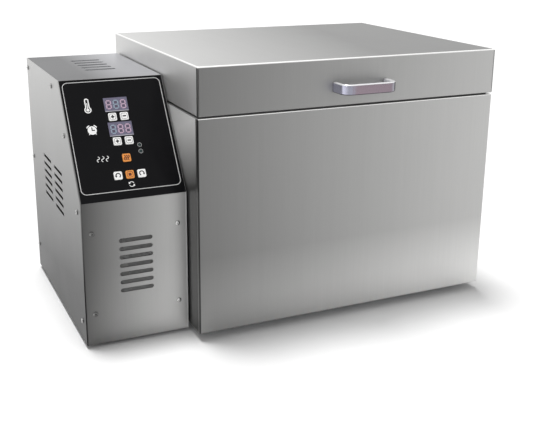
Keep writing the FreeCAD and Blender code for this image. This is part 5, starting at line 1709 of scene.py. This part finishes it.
@dataclass
class VentScreens:
    """Woven wire cloth behind the wide vents, which keeps chaff out of the control box."""

    pitch: float = 1.8 * MM
    wire: float = 0.26 * MM
    steps: int = 4
    sides: int = 4
    smooth: float = 60.0

    def strand(self, half_length: float) -> bpy.types.Object:
        """Make a closed wire along X that passes over one crossing wire and under the next.

        Args:
            half_length: half of its length in millimetres.

        Returns:
            The wire.
        """
        waves = int(half_length * MM / self.pitch / 2)
        rings = range(-waves * self.steps, waves * self.steps + 1)
        around = circle((0.0, 0.0), self.wire, self.sides)
        corners = [(2 * self.pitch * step / self.steps, y, self.wire * math.cos(2 * math.pi * step / self.steps) + z)
                   for step in rings for y, z in around]
        faces = tube_faces(len(rings), self.sides)
        return make_object("strand", make_mesh("strand", corners, faces, self.smooth))

    def build(self) -> None:
        """Weave each screen and put it behind its vents."""
        tree = PairTree("wire_copies")
        for vent in Vent:
            name, middle, half, outward = vent.value
            turn = Vector(outward).to_track_quat("Z", "Y").to_matrix().to_4x4()
            plane = Matrix.Translation(Vector(middle) * MM) @ turn
            places, turns, marks = [], [], []
            for crossing in (0, 1):
                lean = Matrix.Rotation(crossing * math.pi / 2, 4, "Z")
                wires = int(half[1 - crossing] * MM / self.pitch)
                for wire in range(-wires, wires + 1):
                    over = Matrix.Rotation((wire + crossing) % 2 * math.pi, 4, "X")
                    places.append(plane @ lean @ Vector((0.0, wire * self.pitch, 0.0)))
                    turns.append((turn @ lean @ over).to_euler())
                    marks.append(1.0 - crossing)
            shapes = {"Copy": self.strand(half[0]), "Second copy": self.strand(half[1])}
            made = tree.run(name, places, turns, shapes | {"Finish": material(WIRE)}, marks=marks)
            add_piece(made, "base", "screw_steel")
            remove(*shapes.values())


# ---------------------------------------------------------------- studio
@dataclass
class Studio:
    """Camera, white floor, soft lamp and the room's pale light; angles are in degrees."""

    target: Scales = (-65.6 * MM, -193.25 * MM, 238.96 * MM)
    distance: float = 1269.4 * MM
    azimuth: float = -24.912
    elevation: float = 16.141
    roll: float = 0.537
    focal_pixels: float = 876.97
    frame_width: float = 533.0
    centre_rise: float = -35.0
    sensor: float = 36.0
    floor_half: float = 12.0
    floor_depth: float = 0.3 * MM
    floor_grey: float = 0.80
    floor_lift: float = 0.02
    room: float = 0.37
    lamp_toward: Scales = (-0.07, 0.16, 0.97)
    lamp_spread: float = 18.0
    lamp_power: float = 2.4

    def camera(self) -> None:
        """Camera at the viewing angle."""
        side, lift, roll = (math.radians(value) for value in (self.azimuth, self.elevation, self.roll))
        back = Vector((math.sin(side) * math.cos(lift), -math.cos(side) * math.cos(lift), math.sin(lift)))
        level = Vector((-back.y, back.x, 0.0)).normalized()
        up = back.cross(level)
        right = level * math.cos(roll) + up * math.sin(roll)
        top = up * math.cos(roll) - level * math.sin(roll)
        data = bpy.data.cameras.new("camera")
        data.sensor_width = self.sensor
        data.lens = self.focal_pixels / self.frame_width * self.sensor
        data.shift_y = self.centre_rise / self.frame_width
        made = bpy.data.objects.new("camera", data)
        made.matrix_world = Matrix((right, top, back)).transposed().to_4x4()
        made.location = Vector(self.target) + back * self.distance
        bpy.context.scene.collection.objects.link(made)
        bpy.context.scene.camera = made

    def lamp(self) -> None:
        """Soft lamp, far away above."""
        data = bpy.data.lights.new("lamp_above", "SUN")
        data.angle = math.radians(self.lamp_spread)
        data.energy = self.lamp_power
        made = bpy.data.objects.new("lamp_above", data)
        made.rotation_euler = Vector(self.lamp_toward).to_track_quat("Z", "Y").to_euler()
        bpy.context.scene.collection.objects.link(made)

    def floor(self) -> None:
        """White floor that keeps the roaster's shadow."""
        half = self.floor_half
        corners = [(x, y, -self.floor_depth) for x, y in ((-half, -half), (half, -half), (half, half), (-half, half))]
        made = make_object("floor", make_mesh("floor", corners, [(0, 1, 2, 3)]))
        tree = Recipe("floor_white")
        lift = tree.tinted(self.seen(tree) * self.floor_lift, UNSTRETCHED)
        white = tree.mixed(self.seen(tree), (self.floor_grey,) * 3, (1.0, 1.0, 1.0))
        made.data.materials.append(tree.finish({"Base Color": white, "Roughness": 0.9, "Specular IOR Level": 0.0,
                                                "Emission Color": lift, "Emission Strength": 1.0}))

    @staticmethod
    def seen(tree: Graph) -> Signal:
        """1 for the rays that show the background: straight, mirrored and through glass."""
        rays = tree.node("ShaderNodeLightPath", output="Is Camera Ray")
        return rays.math("MAXIMUM", rays.output("Is Glossy Ray")).math("MAXIMUM", rays.output("Is Transmission Ray"))

    def world(self) -> None:
        """White behind the roaster, and a softer room that lights it."""
        world = bpy.data.worlds.new("room")
        world.use_nodes = True
        bpy.context.scene.world = world
        tree = Graph(world.node_tree)
        colour = tree.mixed(self.seen(tree), (self.room,) * 3, (1.0, 1.0, 1.0))
        shine = tree.node("ShaderNodeBackground", {}, {"Color": colour, "Strength": 1.0})
        tree.node("ShaderNodeOutputWorld", {}, {"Surface": shine})

    def build(self) -> None:
        """Set up the whole studio."""
        bpy.context.scene.view_settings.view_transform = "Standard"
        for part in (self.camera, self.floor, self.world, self.lamp):
            part()


def main() -> None:
    """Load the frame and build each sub-assembly."""
    logging.basicConfig(level=logging.INFO, format="%(message)s")
    FRAME.update(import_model())
    for part in (Casing(), Well(), Drum(), Lid(), ControlBox(), VentScreens(), Fasteners(), Studio()):
        part.build()
        LOG.info("built %s", type(part).__name__)


if __name__ == "__main__":
    main()
